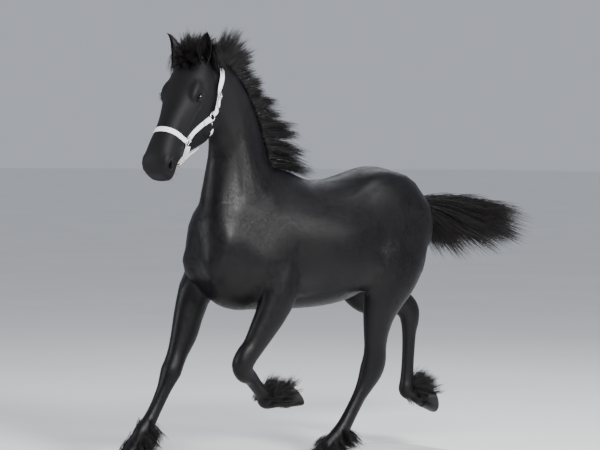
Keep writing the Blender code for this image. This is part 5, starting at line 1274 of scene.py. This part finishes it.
def make_feather(name, rng, material):
    """Long hair round a fetlock: clumps on a line behind the pastern and round it stream back and down,
    and those in front are short and lie over the hoof."""
    count, clumps = FEATHER_HAIRS, FEATHER_CLUMPS
    line, back_way, hang = (np.asarray(FEATHERS[name][key], float) for key in ("line", "back", "hang"))
    back_way = unit(back_way)
    share = rng.uniform(-0.3, 1.05, clumps)
    turn = np.clip(rng.normal(0, 1.05, clumps), -2.7, 2.7) * np.where(share < 0.2, 0.55, 1.0)
    behind = (1 + np.cos(turn)) / 2
    direction = unit(back_way * np.cos(turn)[:, None] + LEFT * (0.72 * np.sin(turn))[:, None]
                     + hang * (0.5 + 0.35 * share + 1.2 * (1 - behind))[:, None]
                     + rng.normal(0, 0.1, (clumps, 3)))
    clump_root = (line[0] * (1 - share)[:, None] + line[1] * share[:, None] - back_way * 0.008
                  - back_way * (0.03 * (1 - np.cos(turn)))[:, None] + LEFT * (0.027 * np.sin(turn))[:, None])
    length = FEATHER_LENGTH * 1.22 * rng.uniform(0.8, 1.12, clumps) * (0.4 + 0.6 * behind)
    clump_tip = clump_root + direction * length[:, None] + hang * 0.012
    pick, root, tip = from_clumps(clump_root, clump_tip, count, rng,
                                  (0.006, 1), (0.2, 0.8), (0.5, 1.04), 0.006)
    tip[:, 2] = np.maximum(tip[:, 2], 0.003)
    fall = (back_way - hang * 0.5) * 0.02 * (rng.uniform(0.4, 1.5, count) * behind[pick])[:, None]
    return locks("feather_" + name, root, tip, rng.uniform(0.0018, 0.0036, count), fall, 5, rng, 0.04,
                 (np.clip(share[pick], 0, 1) * 0.9 + 0.05, 0.5 + turn[pick] * 0.15), material, "long_hair")


# Where a place lies on the animal

def skeleton():
    """The middle lines of trunk, neck, head and legs, each as rows of f, l, h and half size."""
    trunk = spline(TRUNK, 4)
    head = spline(HEAD, 4)
    middle = head[:, 1] * 0.55 + head[:, 2] * 0.45
    neck, *legs = (np.column_stack((line[:, :3], (line[:, 3] + line[:, 4]) / 2))
                   for line in (spline(rows, 4) for rows in (NECK, *LEGS.values())))
    trunk = np.column_stack((trunk[:, 0], 0 * trunk[:, 0], (trunk[:, 1] + trunk[:, 2]) / 2, trunk[:, 3]))
    head = np.column_stack((on_head(head[:, 0], middle, 0 * middle), (head[:, 1] - head[:, 2]) / 2))
    return [trunk, neck, head, *legs]


def unwrap(points):
    """Unwrap of the animal's own shape: the nearest middle line by distance in its half sizes is the cell,
    the way along it is u, and the turn round it is v."""
    best = np.full(len(points), np.inf)
    cell = np.zeros(len(points), int)
    u, v = np.zeros((2, len(points)))
    flow = np.zeros((len(points), 3))
    for number, line in enumerate(skeleton()):
        middle = line[:, :3]
        tangent = tangents(middle)
        gone = gone_along(middle)
        for start in range(0, len(points), BATCH):
            some = points[start:start + BATCH]
            gap = np.linalg.norm(some[:, None] - middle, axis=2) / (line[:, 3] + 0.02)
            near = gap.argmin(1)
            better = np.flatnonzero(gap.min(1) < best[start:start + BATCH])
            t = tangent[near]
            side = unit(LEFT - t * (t @ LEFT)[:, None])
            q = some - middle[near]
            share = gone[near] / gone[-1] + (q * t).sum(1) / gone[-1]
            turn = np.arctan2((q * np.cross(t, side)).sum(1), (q * side).sum(1)) / (2 * math.pi) + 0.5
            cell[start + better] = number
            for rows, values in ((best, gap.min(1)), (u, share), (v, turn), (flow, t)):
                rows[start + better] = values[better]
    return cell, np.clip(u, 0, 1), v, flow


def atlas(cell, u, v):
    """The unwrap's cells side by side in one square: three columns and three rows."""
    column, row = cell % 3, cell // 3
    return np.stack(((column + 0.03 + 0.94 * u) / 3, (row + 0.03 + 0.94 * v) / 3), -1)


def coat_way(points, normals):
    """The way the coat lies: back over the trunk, down the legs and the face, back and down on the neck."""
    cell, u, v, flow = unwrap(points)
    way = flow.copy()
    trunk = cell == 0
    way[trunk] = (-1.0, 0, -0.22)
    way[cell == 1] = -flow[cell == 1] * 0.8 + (-0.3, 0, -0.35)
    way[trunk & (points[:, 0] > 0.22)] = (-0.7, 0, -0.75)
    way[trunk & (points[:, 0] < -0.42)] = (-0.55, 0, -0.85)
    return unit(way - normals * (way * normals).sum(1)[:, None]), cell, u, v


def set_lie(item, cell, height, face, per=1):
    """How far the coat's fine relief runs upright, on legs and head, and how matt it is, on the head."""
    upright = np.where(cell > 2, np.where(height > 0.75, 0.4, 1.0), np.where(cell == 2, 0.8, 0.0))
    set_value(item, "upright", np.repeat(upright, per))
    set_value(item, "matt", np.repeat(face, per))


def make_coat(skin, name, rng, material):
    """Short flat tufts along the coat's way, with roots spread by area over the skin's triangles."""
    count = COAT_TUFTS
    mesh = skin.data
    mesh.calc_loop_triangles()
    corner = np.empty(len(mesh.loop_triangles) * 3, np.int32)
    mesh.loop_triangles.foreach_get("vertices", corner)
    corner = corner.reshape(-1, 3)
    points = mesh_points(skin)
    a, b, c = (points[corner[:, k]] for k in range(3))
    middle = (a + b + c) / 3
    face = near_head(middle)
    bare = (face > 0.5) & (head_measure(middle)[:, 0] > COAT_BARE)
    for side in (1, -1):
        bare |= far_from(middle, eye_place(side)) < 0.036
    low = 1 - smooth_step(middle[:, 2], 0.55, 0.8)
    weight = np.linalg.norm(np.cross(b - a, c - a), axis=1) * (1 + 1.6 * face + 0.9 * low) * ~bare
    pick = rng.choice(len(corner), count, p=weight / weight.sum())
    s, t = rng.uniform(0, 1, (2, count))
    fold = s + t > 1
    s[fold], t[fold] = 1 - s[fold], 1 - t[fold]
    shares = np.stack((1 - s - t, s, t), -1)[..., None]
    root = (points[corner[pick]] * shares).sum(1)
    normal = unit((mesh_normals(skin)[corner[pick]] * shares).sum(1))
    way, cell, u, v = coat_way(root, normal)
    fine = 1 - 0.62 * face[pick] - 0.3 * low[pick]
    length = COAT_LENGTH * rng.uniform(0.7, 1.25, count) * fine
    start = root - normal * 0.0008
    lying = way + normal * rng.uniform(0.09, 0.17, (count, 1)) + rng.normal(0, 0.07, (count, 3))
    item, per = hair(name, start, start + unit(lying) * length[:, None],
                     COAT_WIDTH * rng.uniform(0.6, 1.3, count) * fine, normal * 0, 1, rng, 0.0, 0.16, normal)
    set_lie(item, cell, root[:, 2], face[pick], per)
    item.data.normals_split_custom_set_from_vertices(np.repeat(along(normal), per, axis=0))
    bake_patches(item, per, atlas(cell, u, v))
    return finish_piece(item, material, "coat")


# Halter

def skin_tree(skin):
    """A search tree of the skin's faces in the world."""
    mesh = skin.data
    return BVHTree.FromPolygons([vert.co for vert in mesh.vertices],
                                [tuple(face.vertices) for face in mesh.polygons])


def laid_on(tree, point):
    """Where a point meets the skin on its way in to the head's middle line, with the normal."""
    way = np.clip((point - at(POLL)) @ along(head_axes()[0]), *HEART_SPAN)
    heart = at(on_head(way / HEAD_SCALE, HEART_DEPTH * (1 - way / HEART_FADE), 0.0))
    out = unit(point - heart)
    hit, normal = tree.ray_cast(Vector(point + out * RAY_START), Vector(-out))[:2]
    return np.array(hit), np.array(normal)


def route_on(tree, controls, lift=0.0, ease=4):
    """A smooth route over the head through its controls, laid on the skin and eased, with its normals."""
    places, normals = (np.array(rows) for rows in zip(*(
        laid_on(tree, point) for point in at(spline([on_head(*row) for row in controls], 8)))))
    for _ in range(ease):
        places[1:-1] = (places[:-2] + 2 * places[1:-1] + places[2:]) / 4
        normals[1:-1] = unit(normals[:-2] + 2 * normals[1:-1] + normals[2:])
    return places + normals * (STRAP_OFF + lift), normals


def band(name, places, sides, width, material, *nodes):
    """A flat band: a rounded rectangle of width and thickness carried along its route and closed."""
    tangent = tangents(places)
    side = unit(sides - tangent * (sides * tangent).sum(1)[:, None])
    flat = np.cross(side, tangent)
    cos, sin = turns(STRAP_SIDES)
    across = width / 2 * bent(cos, 0.22)
    deep = STRAP_THICK / 2 * bent(sin, 0.55)
    rings = places[:, None] + across[:, None] * side[:, None] + deep[:, None] * flat[:, None]
    item = closed_tube(name, rings)
    gone = gone_along(places)
    u = np.concatenate((np.repeat(gone, STRAP_SIDES), (0, gone[-1])))
    v = np.concatenate((np.tile(across, len(gone)), (0, 0)))
    set_uv(item, "strap", np.stack((u, v), -1))
    set_value(item, "from_end", np.minimum(u, gone[-1] - u))
    return finish_piece(item, material, "halter_webbing", *nodes)


def looped(rows, ring):
    """Places, normals and sides of a band whose end turns round a ring's wire and is sewn back on itself."""
    places = rows[0]
    middle, flat = ring
    ahead = middle - places[-1]
    ahead = unit(ahead - flat * (ahead @ flat))
    wire = middle - ahead * RING_SIZE
    places, normals, sides = (block[(wire - places) @ ahead > 0.007] for block in rows)
    radius = RING_WIRE + STRAP_THICK / 2 + 0.0002
    angle = np.linspace(-0.5 * math.pi, 0.5 * math.pi, 9)[:, None]
    bend = wire + (ahead * np.cos(angle) + flat * np.sin(angle)) * radius
    doubled = np.flatnonzero(far_from(places, wire) < LOOP_LENGTH)[::-1]
    top = places[doubled] + normals[doubled] * STRAP_THICK * 1.08
    return (np.vstack((places, bend, top)),
            np.vstack((normals, np.broadcast_to(flat, bend.shape), normals[doubled])),
            np.vstack((sides, np.broadcast_to(sides[-1], bend.shape), sides[doubled])))


def strap_between(name, route, width, material, start_ring, end_ring, *nodes):
    """A band over the head between rings, turned round the wire at each end that has a ring."""
    rows = (*route, unit(np.cross(tangents(route[0]), route[1])))
    if end_ring:
        rows = looped(rows, end_ring)
    if start_ring:
        rows = [block[::-1] for block in looped([block[::-1] for block in rows], start_ring)]
    return band(name, rows[0], rows[2], width, material, *nodes)


def wire(name, path, radius, material):
    """A round bar carried along a path, its radius given at every place."""
    side = unit(np.cross(tangents(path), (0.31, 0.22, 0.93)))
    deep = np.cross(tangents(path), side)
    cos, sin = turns(14)[..., None]
    radius = np.broadcast_to(radius, len(path))[:, None, None]
    rings = path[:, None] + radius * (side[:, None] * cos + deep[:, None] * sin)
    return finish_piece(closed_tube(name, rings), material, "halter_metal")


def closed_wire(name, rings, material, *nodes):
    """A bar whose ends meet, through rings of places."""
    item = mesh_object(name, [turned_out(rings.reshape(-1, 3), [grid_faces(*rings.shape[:2], True, True)])])
    return finish_piece(item, material, "halter_metal", *nodes)


def buckle(place, tangent, side, flat, material):
    """A buckle on a band: a rounded frame of wire, a bar across its middle and a tongue on the frame."""
    cos, sin = turns(48)
    ahead = BUCKLE_LONG * bent(cos, 0.45)
    across = BUCKLE_WIDE * bent(sin, 0.45)
    middle = place + flat * 0.0042
    path = middle + ahead[:, None] * tangent + across[:, None] * side
    cos, sin = turns(12)[..., None]
    rings = path[:, None] + 0.002 * cos * unit(path - middle)[:, None] + 0.0017 * sin * flat
    closed_wire("buckle_frame", rings, material)
    share = np.linspace(-1, 1, 9)[:, None]
    wire("buckle_bar", middle + side * BUCKLE_WIDE * share, 0.0014, material)
    wire("buckle_tongue", middle + flat * 0.0022 + tangent * 0.0075 * (share + 0.9), 0.0011, material)


def make_snap(ring, down, flat, material):
    """A snap hook hung from a ring: a hook round the wire, a swollen body, a spring lever and an eye."""
    across = unit(np.cross(down, flat))
    top = ring[0] + down * RING_SIZE
    angle = np.linspace(-0.6 * math.pi, 0.95 * math.pi, 22)[:, None]
    bow = top + down * 0.006 + (-down * np.cos(angle - 0.4) + across * np.sin(angle - 0.4)) * 0.0085
    wire("snap_hook", bow, 0.0022, material)
    share = np.linspace(0, 1, 24)[:, None]
    wire("snap_body", top + down * (0.012 + 0.036 * share), np.interp(share[:, 0], *SNAP_SWELL), material)
    aside = across * (0.004 + 0.005 * np.sin(share * math.pi))
    wire("snap_lever", top + down * (0.018 + 0.008 * share) + aside, 0.0012, material)
    hoop("snap_eye", top + down * 0.055, flat, 0.0095, 0.0018, material, along_way=down)


def hoop(name, middle, flat, size, wire_radius, material, *nodes, along_way=None):
    """A metal ring: a round wire carried round a circle of the given size."""
    one = unit(np.cross(flat, (0.3, 0.2, 1.0)) if along_way is None else along_way)
    two = np.cross(flat, one)
    big_cos, big_sin = turns(56)[..., None]
    cos, sin = turns(16)[..., None]
    spoke = (big_cos * one + big_sin * two)[:, None]
    rings = middle + spoke * (size + wire_radius * cos) + flat * (wire_radius * sin)
    return closed_wire(name, rings, material, *nodes)


def hanging_route(start, end, sag):
    """A hanging band: a cubic that leaves the first place downwards and meets the last from above."""
    t = np.linspace(0, 1, 30)[:, None]
    first = start - UP * sag
    last = end + UP * sag * 0.25
    return (1 - t) ** 3 * start + 3 * (1 - t) ** 2 * t * first + 3 * (1 - t) * t**2 * last + t**3 * end


def make_halter(skin, webbing, steel, brass):
    """The halter: webbing bands laid on the head, and the rings, buckle and snap that join them."""
    tree = skin_tree(skin)
    forehead, left = (along(axis) for axis in head_axes()[1:])
    rings = {}
    for side, word in SIDES:
        for kind, place in (("side", SIDE_RING), ("upper", UPPER_RING)):
            hit, flat = laid_on(tree, at(on_head(place[0], place[1], place[2] * side)))
            rings[kind, side] = hit + flat * (RING_WIRE + STRAP_THICK + 0.0008), flat
            ring = "ring_%s_%s" % (kind, word)
            hoop(ring, *rings[kind, side], RING_SIZE, RING_WIRE, steel, "halter_" + ring)
    hit, flat = laid_on(tree, at(on_head(*CHIN_RING)))
    chin = hit + flat * (RING_WIRE + CHIN_RING_LIFT)
    hoop("ring_chin", chin, flat, RING_SIZE, RING_WIRE, brass, "halter_ring_chin")
    nose = np.array([row for row in NOSEBAND if row[2] > 0])
    route = route_on(tree, np.vstack((nose, (nose * (1, 1, -1))[::-1])))
    strap_between("noseband", route, STRAP_WIDTH, webbing, rings["side", 1], rings["side", -1],
                  "halter_noseband")
    for side, word in SIDES:
        mirror = np.array((1, 1, side))
        low_ring, top_ring = rings["side", side], rings["upper", side]
        strap_between("strap_cheek_" + word, route_on(tree, CHEEK * mirror), STRAP_WIDTH, webbing,
                      low_ring, top_ring, "halter_cheek_" + word)
        places, normals = route_on(tree, CROWN * mirror, CROWN_LIFT, CROWN_EASE * 4)
        strap_between("strap_crown_" + word, (places, normals), STRAP_WIDTH, webbing, top_ring, None,
                      "halter_crown_" + word)
        if side > 0:
            low = np.flatnonzero(far_from(places, top_ring[0]) < BILLET_LENGTH)
            low = low[low > 3]
            tangent = tangents(places)[low]
            places, normals = places[low], normals[low]
            across = unit(np.cross(tangent, normals))
            band("strap_billet", places + normals * STRAP_THICK * BILLET_LIFT, across, STRAP_WIDTH, webbing)
            buckle(places[-1] + normals[-1] * STRAP_THICK * 1.4, tangent[-1], across[-1], normals[-1], steel)
        route = hanging_route(low_ring[0] - UP * RING_SIZE, chin + left * side * RING_SIZE * 0.5, CHIN_SAG)
        facing = unit(left * side * 0.75 + along((0.65, 0, 0)))
        band("strap_chin_" + word, route, unit(np.cross(tangents(route), facing)), CHIN_WIDTH, webbing,
             "halter_chin_" + word)
        route = route_on(tree, THROAT * mirror)
        if side > 0:
            make_snap(top_ring, unit(route[0][-1] - top_ring[0]), top_ring[1], steel)
            keep = far_from(route[0], top_ring[0]) > SNAP_REACH
            route = route[0][keep], route[1][keep]
        strap_between("strap_throat_" + word, route, THROAT_WIDTH, webbing,
                      None if side > 0 else top_ring, None, "halter_throat_" + word)
    route = np.vstack((chin, at(spline([on_head(*row) for row in MIDDLE], 8))))
    normals = np.broadcast_to(-forehead, route.shape)
    across = np.cross(tangents(route), normals)
    band("strap_middle", route + normals * STRAP_THICK, across, MIDDLE_WIDTH, webbing)


# Materials

def new_material(name):
    """An empty material with its surface shader."""
    material = bpy.data.materials.new(name)
    material.use_nodes = True
    tree = material.node_tree
    return material, tree, tree.nodes["Principled BSDF"]


def feed(tree, sockets, values):
    """Each socket named or numbered is linked to its value's socket, or set to its value."""
    for key, value in values.items():
        socket = sockets[key]
        if isinstance(value, bpy.types.NodeSocket):
            tree.links.new(value, socket)
        else:
            socket.default_value = (*value, 1) if socket.type == "RGBA" and len(value) == 3 else value


def node(tree, kind, **values):
    """A node with its settings, and with values or links on the inputs of the same name."""
    made = tree.nodes.new(kind)
    for key, value in values.items():
        if key in made.inputs:
            feed(tree, made.inputs, {key: value})
        else:
            setattr(made, key, value)
    return made


def number(tree, operation, *values):
    """The result of one step of arithmetic on numbers or sockets."""
    made = node(tree, "ShaderNodeMath", operation=operation)
    feed(tree, made.inputs, dict(enumerate(values)))
    return made.outputs[0]


def mix_colours(tree, factor, first, second):
    """A colour between two others."""
    mix = node(tree, "ShaderNodeMix", data_type="RGBA")
    feed(tree, mix.inputs, {0: factor, 6: first, 7: second})
    return mix.outputs[2]


def mix_numbers(tree, factor, first, second):
    """A number between two others."""
    mix = node(tree, "ShaderNodeMix")
    feed(tree, mix.inputs, {0: factor, 2: first, 3: second})
    return mix.outputs[0]


def spread(tree, value, low, high, to_low=0.0, to_high=1.0):
    """A number read from one range into another, held at its ends."""
    rows = tree.nodes.new("ShaderNodeMapRange")
    feed(tree, rows.inputs, dict(enumerate((value, low, high, to_low, to_high))))
    return rows.outputs[0]


def bump(tree, height, strength, distance):
    """Relief by a height that changes over the surface."""
    return node(tree, "ShaderNodeBump", Strength=strength, Distance=distance, Height=height).outputs[0]


def attribute(tree, name):
    """A named number of the mesh."""
    return node(tree, "ShaderNodeAttribute", attribute_name=name).outputs["Fac"]


def new_group(name, inputs, outputs):
    """A node group with named inputs, each with its kind and first value, and named outputs."""
    group = bpy.data.node_groups.new(name, "ShaderNodeTree")
    for label, kind, value in inputs:
        socket = group.interface.new_socket(label, in_out="INPUT", socket_type="NodeSocket" + kind)
        socket.default_value = value
    for label, kind in outputs:
        group.interface.new_socket(label, in_out="OUTPUT", socket_type="NodeSocket" + kind)
    return group, group.nodes.new("NodeGroupInput").outputs, group.nodes.new("NodeGroupOutput").inputs


def clouds_group():
    """Wear and dust: soft noise between two levels mixes a clean and a worn colour and two roughnesses."""
    group, given, made = new_group("worn_clouds", (
        ("Place", "Vector", (0, 0, 0)), ("Scale", "Float", 10.0), ("Low", "Float", 0.35),
        ("High", "Float", 0.7), ("Most", "Float", 1.0), ("Clean", "Color", (0.5, 0.5, 0.5, 1)),
        ("Worn", "Color", (0.3, 0.3, 0.3, 1)),
        ("Smooth", "Float", 0.4), ("Rough", "Float", 0.6),
    ), (("Color", "Color"), ("Roughness", "Float"), ("Mask", "Float")))
    cloud = node(group, "ShaderNodeTexNoise", Detail=4.0, Vector=given["Place"],
                 Scale=given["Scale"]).outputs[0]
    mask = spread(group, cloud, given["Low"], given["High"], 0.0, given["Most"])
    feed(group, made, {"Mask": mask, "Color": mix_colours(group, mask, given["Clean"], given["Worn"]),
                       "Roughness": mix_numbers(group, mask, given["Smooth"], given["Rough"])})
    return group


def streaks_group():
    """Grain: noise on a place that is turned and stretched, as fine lines along one way."""
    group, given, made = new_group("fine_streaks", (
        ("Place", "Vector", (0, 0, 0)), ("Stretch", "Vector", (100, 100, 100)), ("Turn", "Vector", (0, 0, 0)),
    ), (("Height", "Float"),))
    place = node(group, "ShaderNodeMapping", Vector=given["Place"], Scale=given["Stretch"],
                 Rotation=given["Turn"])
    grain = node(group, "ShaderNodeTexNoise", Scale=1.0, Detail=3.0, Vector=place.outputs[0])
    feed(group, made, {"Height": grain.outputs[0]})
    return group


def placed(tree, group, **values):
    """A group on the object's own place in a material, with its own values or links to other nodes."""
    return node(tree, "ShaderNodeGroup", node_tree=group, Place=object_place(tree), **values).outputs


def object_place(tree):
    """The place on the object itself."""
    return node(tree, "ShaderNodeTexCoord").outputs["Object"]


def coat_material(name, tint, clouds, streaks):
    """Near-black coat with a soft bluish sheen; its fine relief is grain along the way the hair lies."""
    material, tree, shader = new_material(name)
    patches = placed(tree, clouds, Scale=5.0, Low=0.35, High=0.68, Clean=tint[0], Worn=tint[1])
    fine = placed(tree, clouds, Scale=60.0, Low=0.3, High=0.7, Smooth=0.33, Rough=0.46)
    level = placed(tree, streaks, Stretch=(70, 520, 380), Turn=(0, math.radians(14), 0))["Height"]
    upright = placed(tree, streaks, Stretch=(520, 520, 70))["Height"]
    feed(tree, shader.inputs, {
        "Base Color": patches["Color"],
        "Roughness": mix_numbers(tree, attribute(tree, "matt"), fine["Roughness"], 0.6),
        "IOR": 1.28, "Specular IOR Level": 0.5,
        "Sheen Weight": 0.012, "Sheen Roughness": 0.45, "Sheen Tint": (0.6, 0.6, 0.9, 1),
        "Normal": bump(tree, mix_numbers(tree, attribute(tree, "upright"), level, upright), 0.45, 0.0012)})
    return material


def hair_material(name, clouds):
    """Long black hair that browns a little towards its ends, with lighter and darker locks."""
    material, tree, shader = new_material(name)
    base = mix_colours(tree, attribute(tree, "shade"), (0.0018, 0.0017, 0.0023), (0.0055, 0.0046, 0.005))
    ends = spread(tree, attribute(tree, "tip"), 0.45, 1.0, 0.0, 0.8)
    dull = placed(tree, clouds, Scale=30.0, Smooth=0.34, Rough=0.56)
    feed(tree, shader.inputs, {"Base Color": mix_colours(tree, ends, base, (0.0095, 0.0062, 0.0048)),
                               "Roughness": dull["Roughness"], "IOR": 1.34})
    return material


def eye_material():
    """A near-black brown iris with a wide level pupil, by the angle off its axis, and a glossy cornea."""
    material, tree, shader = new_material("eye_gloss")
    place = node(tree, "ShaderNodeCombineXYZ", X=attribute(tree, "across"),
                 Y=number(tree, "MULTIPLY", attribute(tree, "height"), 2.1)).outputs[0]
    far = node(tree, "ShaderNodeVectorMath", operation="LENGTH")
    feed(tree, far.inputs, {0: place})
    streaks = node(tree, "ShaderNodeTexNoise", Scale=14.0, Detail=4.0, Vector=place).outputs[0]
    iris = mix_colours(tree, streaks, (0.003, 0.0018, 0.0014), (0.0105, 0.0052, 0.003))
    dark = mix_colours(tree, spread(tree, far.outputs["Value"], 0.3, 0.36), (0.001, 0.0009, 0.0011), iris)
    rim = spread(tree, attribute(tree, "off_axis"), 0.62, 0.78)
    feed(tree, shader.inputs, {"Base Color": mix_colours(tree, rim, dark, (0.004, 0.003, 0.003)),
                               "Roughness": 0.1, "Specular IOR Level": 0.16,
                               "Coat Weight": 0.1, "Coat Roughness": 0.02})
    return material


def horn_material(clouds, streaks):
    """Dark hoof horn: fine upright fibres, dust in clouds and a paler worn lower edge."""
    material, tree, shader = new_material("hoof_horn")
    fibres = placed(tree, streaks, Stretch=(380, 380, 60))["Height"]
    base = mix_colours(tree, fibres, (0.003, 0.0028, 0.0028), (0.0095, 0.0086, 0.008))
    dusty = placed(tree, clouds, Scale=40.0, Low=0.4, High=0.78, Most=0.5, Clean=base,
                   Worn=(0.022, 0.0195, 0.017), Smooth=0.4, Rough=0.62)
    low = spread(tree, attribute(tree, "down"), 0.88, 1.04)
    feed(tree, shader.inputs, {"Base Color": mix_colours(tree, low, dusty["Color"], (0.03, 0.026, 0.022)),
                               "Roughness": dusty["Roughness"], "IOR": 1.36,
                               "Normal": bump(tree, fibres, 0.25, 0.0006)})
    return material


def webbing_material(clouds):
    """White woven webbing: ribs across and cords along it with painted shade in the hollows between them,
    rows of stitches near its ends, a little grime.
    """
    material, tree, shader = new_material("halter_webbing")
    uv = node(tree, "ShaderNodeUVMap", uv_map="strap").outputs[0]
    ribs, cords, threads = (
        node(tree, "ShaderNodeTexWave", bands_direction=way, Vector=uv, Scale=scale, Distortion=wavy,
             Detail=detail).outputs["Fac"]
        for way, scale, wavy,
        detail in (("X", 190.0, 0.3, 1.0), ("Y", 110.0, 0.2, 1.0), ("X", 55.0, 0.0, 2.0)))
    weave = number(tree, "MULTIPLY", ribs, cords)
    aside = number(tree, "ABSOLUTE", node(tree, "ShaderNodeSeparateXYZ", Vector=uv).outputs["Y"])
    off = number(tree, "ABSOLUTE", number(tree, "SUBTRACT", aside, STITCH_ROWS))
    in_row = spread(tree, off, 0.0004, 0.0008, 1.0, 0.0)
    near_end = spread(tree, attribute(tree, "from_end"), LOOP_LENGTH, LOOP_LENGTH + 0.002, 1.0, 0.0)
    stitches = number(tree, "MULTIPLY", number(tree, "MULTIPLY", in_row, near_end),
                      spread(tree, threads, 0.3, 0.5))
    # painted shade: the weave's low places between ribs and cords are coloured darker, by the same height
    # that drives its bump
    weave_with_painted_shade = mix_colours(tree, weave, (0.7, 0.71, 0.74), (0.93, 0.93, 0.95))
    grime = placed(tree, clouds, Scale=38.0, Low=0.55, High=0.85, Most=0.45,
                   Clean=mix_colours(tree, stitches, weave_with_painted_shade, (0.46, 0.46, 0.47)), Worn=(0.52, 0.5, 0.47),
                   Smooth=0.55, Rough=0.75)
    feed(tree, shader.inputs,
         {"Base Color": grime["Color"], "Roughness": grime["Roughness"], "Sheen Weight": 0.25,
                               "Normal": bump(tree, mix_numbers(tree, stitches, weave, 0.2), 0.5, 0.0006)})
    return material


def metal_material(name, bright, dull, clouds, streaks):
    """Polished metal with fine scratches and duller patches."""
    material, tree, shader = new_material(name)
    patches = placed(tree, clouds, Scale=90.0, Low=0.4, High=0.75, Most=0.7, Clean=bright, Worn=dull)
    scratches = placed(tree, streaks, Stretch=(900, 150, 900))["Height"]
    feed(tree, shader.inputs, {"Base Color": patches["Color"], "Metallic": 1.0,
                               "Roughness": mix_numbers(tree, scratches, 0.14, 0.34)})
    return material


def board_material(clouds, streaks):
    """A satin painted board: a pale warm grey with a faint roller texture and slightly rubbed patches."""
    material, tree, shader = new_material("base_board")
    rubbed = placed(tree, clouds, Scale=4.0, Clean=(0.68, 0.67, 0.65), Worn=(0.6, 0.59, 0.57),
                    Smooth=0.42, Rough=0.58)
    rolled = placed(tree, streaks, Stretch=(260, 260, 260))["Height"]
    feed(tree, shader.inputs, {"Base Color": rubbed["Color"], "Roughness": rubbed["Roughness"],
                               "Normal": bump(tree, rolled, 0.1, 0.0004)})
    return material


def floor_material(clouds):
    """A plain pale floor with barely seen clouds."""
    material, tree, shader = new_material("floor")
    pale = placed(tree, clouds, Scale=0.7, Clean=(0.9, 0.9, 0.89), Worn=(0.86, 0.86, 0.85))
    feed(tree, shader.inputs, {"Base Color": pale["Color"], "Roughness": 0.8, "Specular IOR Level": 0.15})
    return material


# Stage

def make_stage(ground):
    """A wide level floor, the sky's even light, five large lamps and the camera."""
    corners = np.array(((-1, -1, 0), (1, -1, 0), (1, 1, 0), (-1, 1, 0))) * FLOOR_REACH
    floor = mesh_object("floor", [(corners, [np.array(((0, 1, 2, 3),))])], False)
    floor.data.materials.append(ground)
    world = bpy.data.worlds.new("studio")
    bpy.context.scene.world = world
    world.use_nodes = True
    feed(world.node_tree, world.node_tree.nodes["Background"].inputs,
         {"Color": (0.86, 0.9, 1.0), "Strength": SKY})
    for name, place, size, power, tint in LAMPS:
        lamp = bpy.data.lights.new(name, "AREA")
        lamp.shape = "RECTANGLE"
        lamp.size, lamp.size_y = size
        lamp.energy = power
        lamp.color = tint
        item = linked(name, lamp)
        item.location = place
        item.rotation_euler = (Vector(AIM) - Vector(place)).to_track_quat("-Z", "Y").to_euler()
    lens = bpy.data.cameras.new("camera")
    lens.lens = CAMERA_LENS
    lens.sensor_width = 36.0
    lens.clip_end = 200.0
    eye = linked("camera", lens)
    turn, pitch, roll = (math.radians(angle) for angle in (CAMERA_TURN, CAMERA_PITCH, CAMERA_ROLL))
    ahead = Vector((math.sin(turn) * math.cos(pitch), math.cos(turn) * math.cos(pitch), -math.sin(pitch)))
    aim = ahead.to_track_quat("-Z", "Y").to_matrix().to_4x4()
    eye.matrix_world = Matrix.Translation(CAMERA_PLACE) @ aim @ Matrix.Rotation(roll, 4, "Z")
    bpy.context.scene.camera = eye


def build():
    """Every piece of the dressed model, its materials and the stage."""
    rng = np.random.default_rng(SEED)
    clouds = clouds_group()
    streaks = streaks_group()
    coat = coat_material("coat", COAT_TINTS, clouds, streaks)
    long_hair = hair_material("long_hair", clouds)
    horn = horn_material(clouds, streaks)
    gloss = eye_material()
    webbing = webbing_material(clouds)
    steel = metal_material("halter_steel", (0.78, 0.78, 0.76), (0.42, 0.41, 0.39), clouds, streaks)
    brass = metal_material("halter_brass", (0.78, 0.62, 0.34), (0.42, 0.3, 0.15), clouds, streaks)
    skin = make_skin(coat)
    points = mesh_points(skin)
    cell = unwrap(points)[0]
    set_lie(skin, cell, points[:, 2], near_head(points))
    for side, word in SIDES:
        make_eye(side, "eye_" + word, gloss)
        make_ear(side, "ear_" + word, coat)
        make_ear_hair(side, "ear_" + word, rng, long_hair)
        make_lashes(side, word, rng, long_hair)
    for name in HOOVES:
        make_hoof(name, horn)
        make_feather(name, rng, long_hair)
    make_mane(rng, long_hair)
    make_tail_core(long_hair)
    make_tail("tail_hair_a", rng, long_hair)
    make_tail("tail_hair_b", rng, long_hair)
    make_forelock(rng, long_hair)
    make_poll_hair(rng, long_hair)
    for count in range(COAT_PIECES):
        make_coat(skin, "coat_%d" % (count + 1), rng, coat)
    make_whiskers(rng, long_hair)
    make_halter(skin, webbing, steel, brass)
    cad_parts["stand_base"].data.materials.clear()
    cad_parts["stand_base"].data.materials.append(board_material(clouds, streaks))
    make_stage(floor_material(clouds))


build()
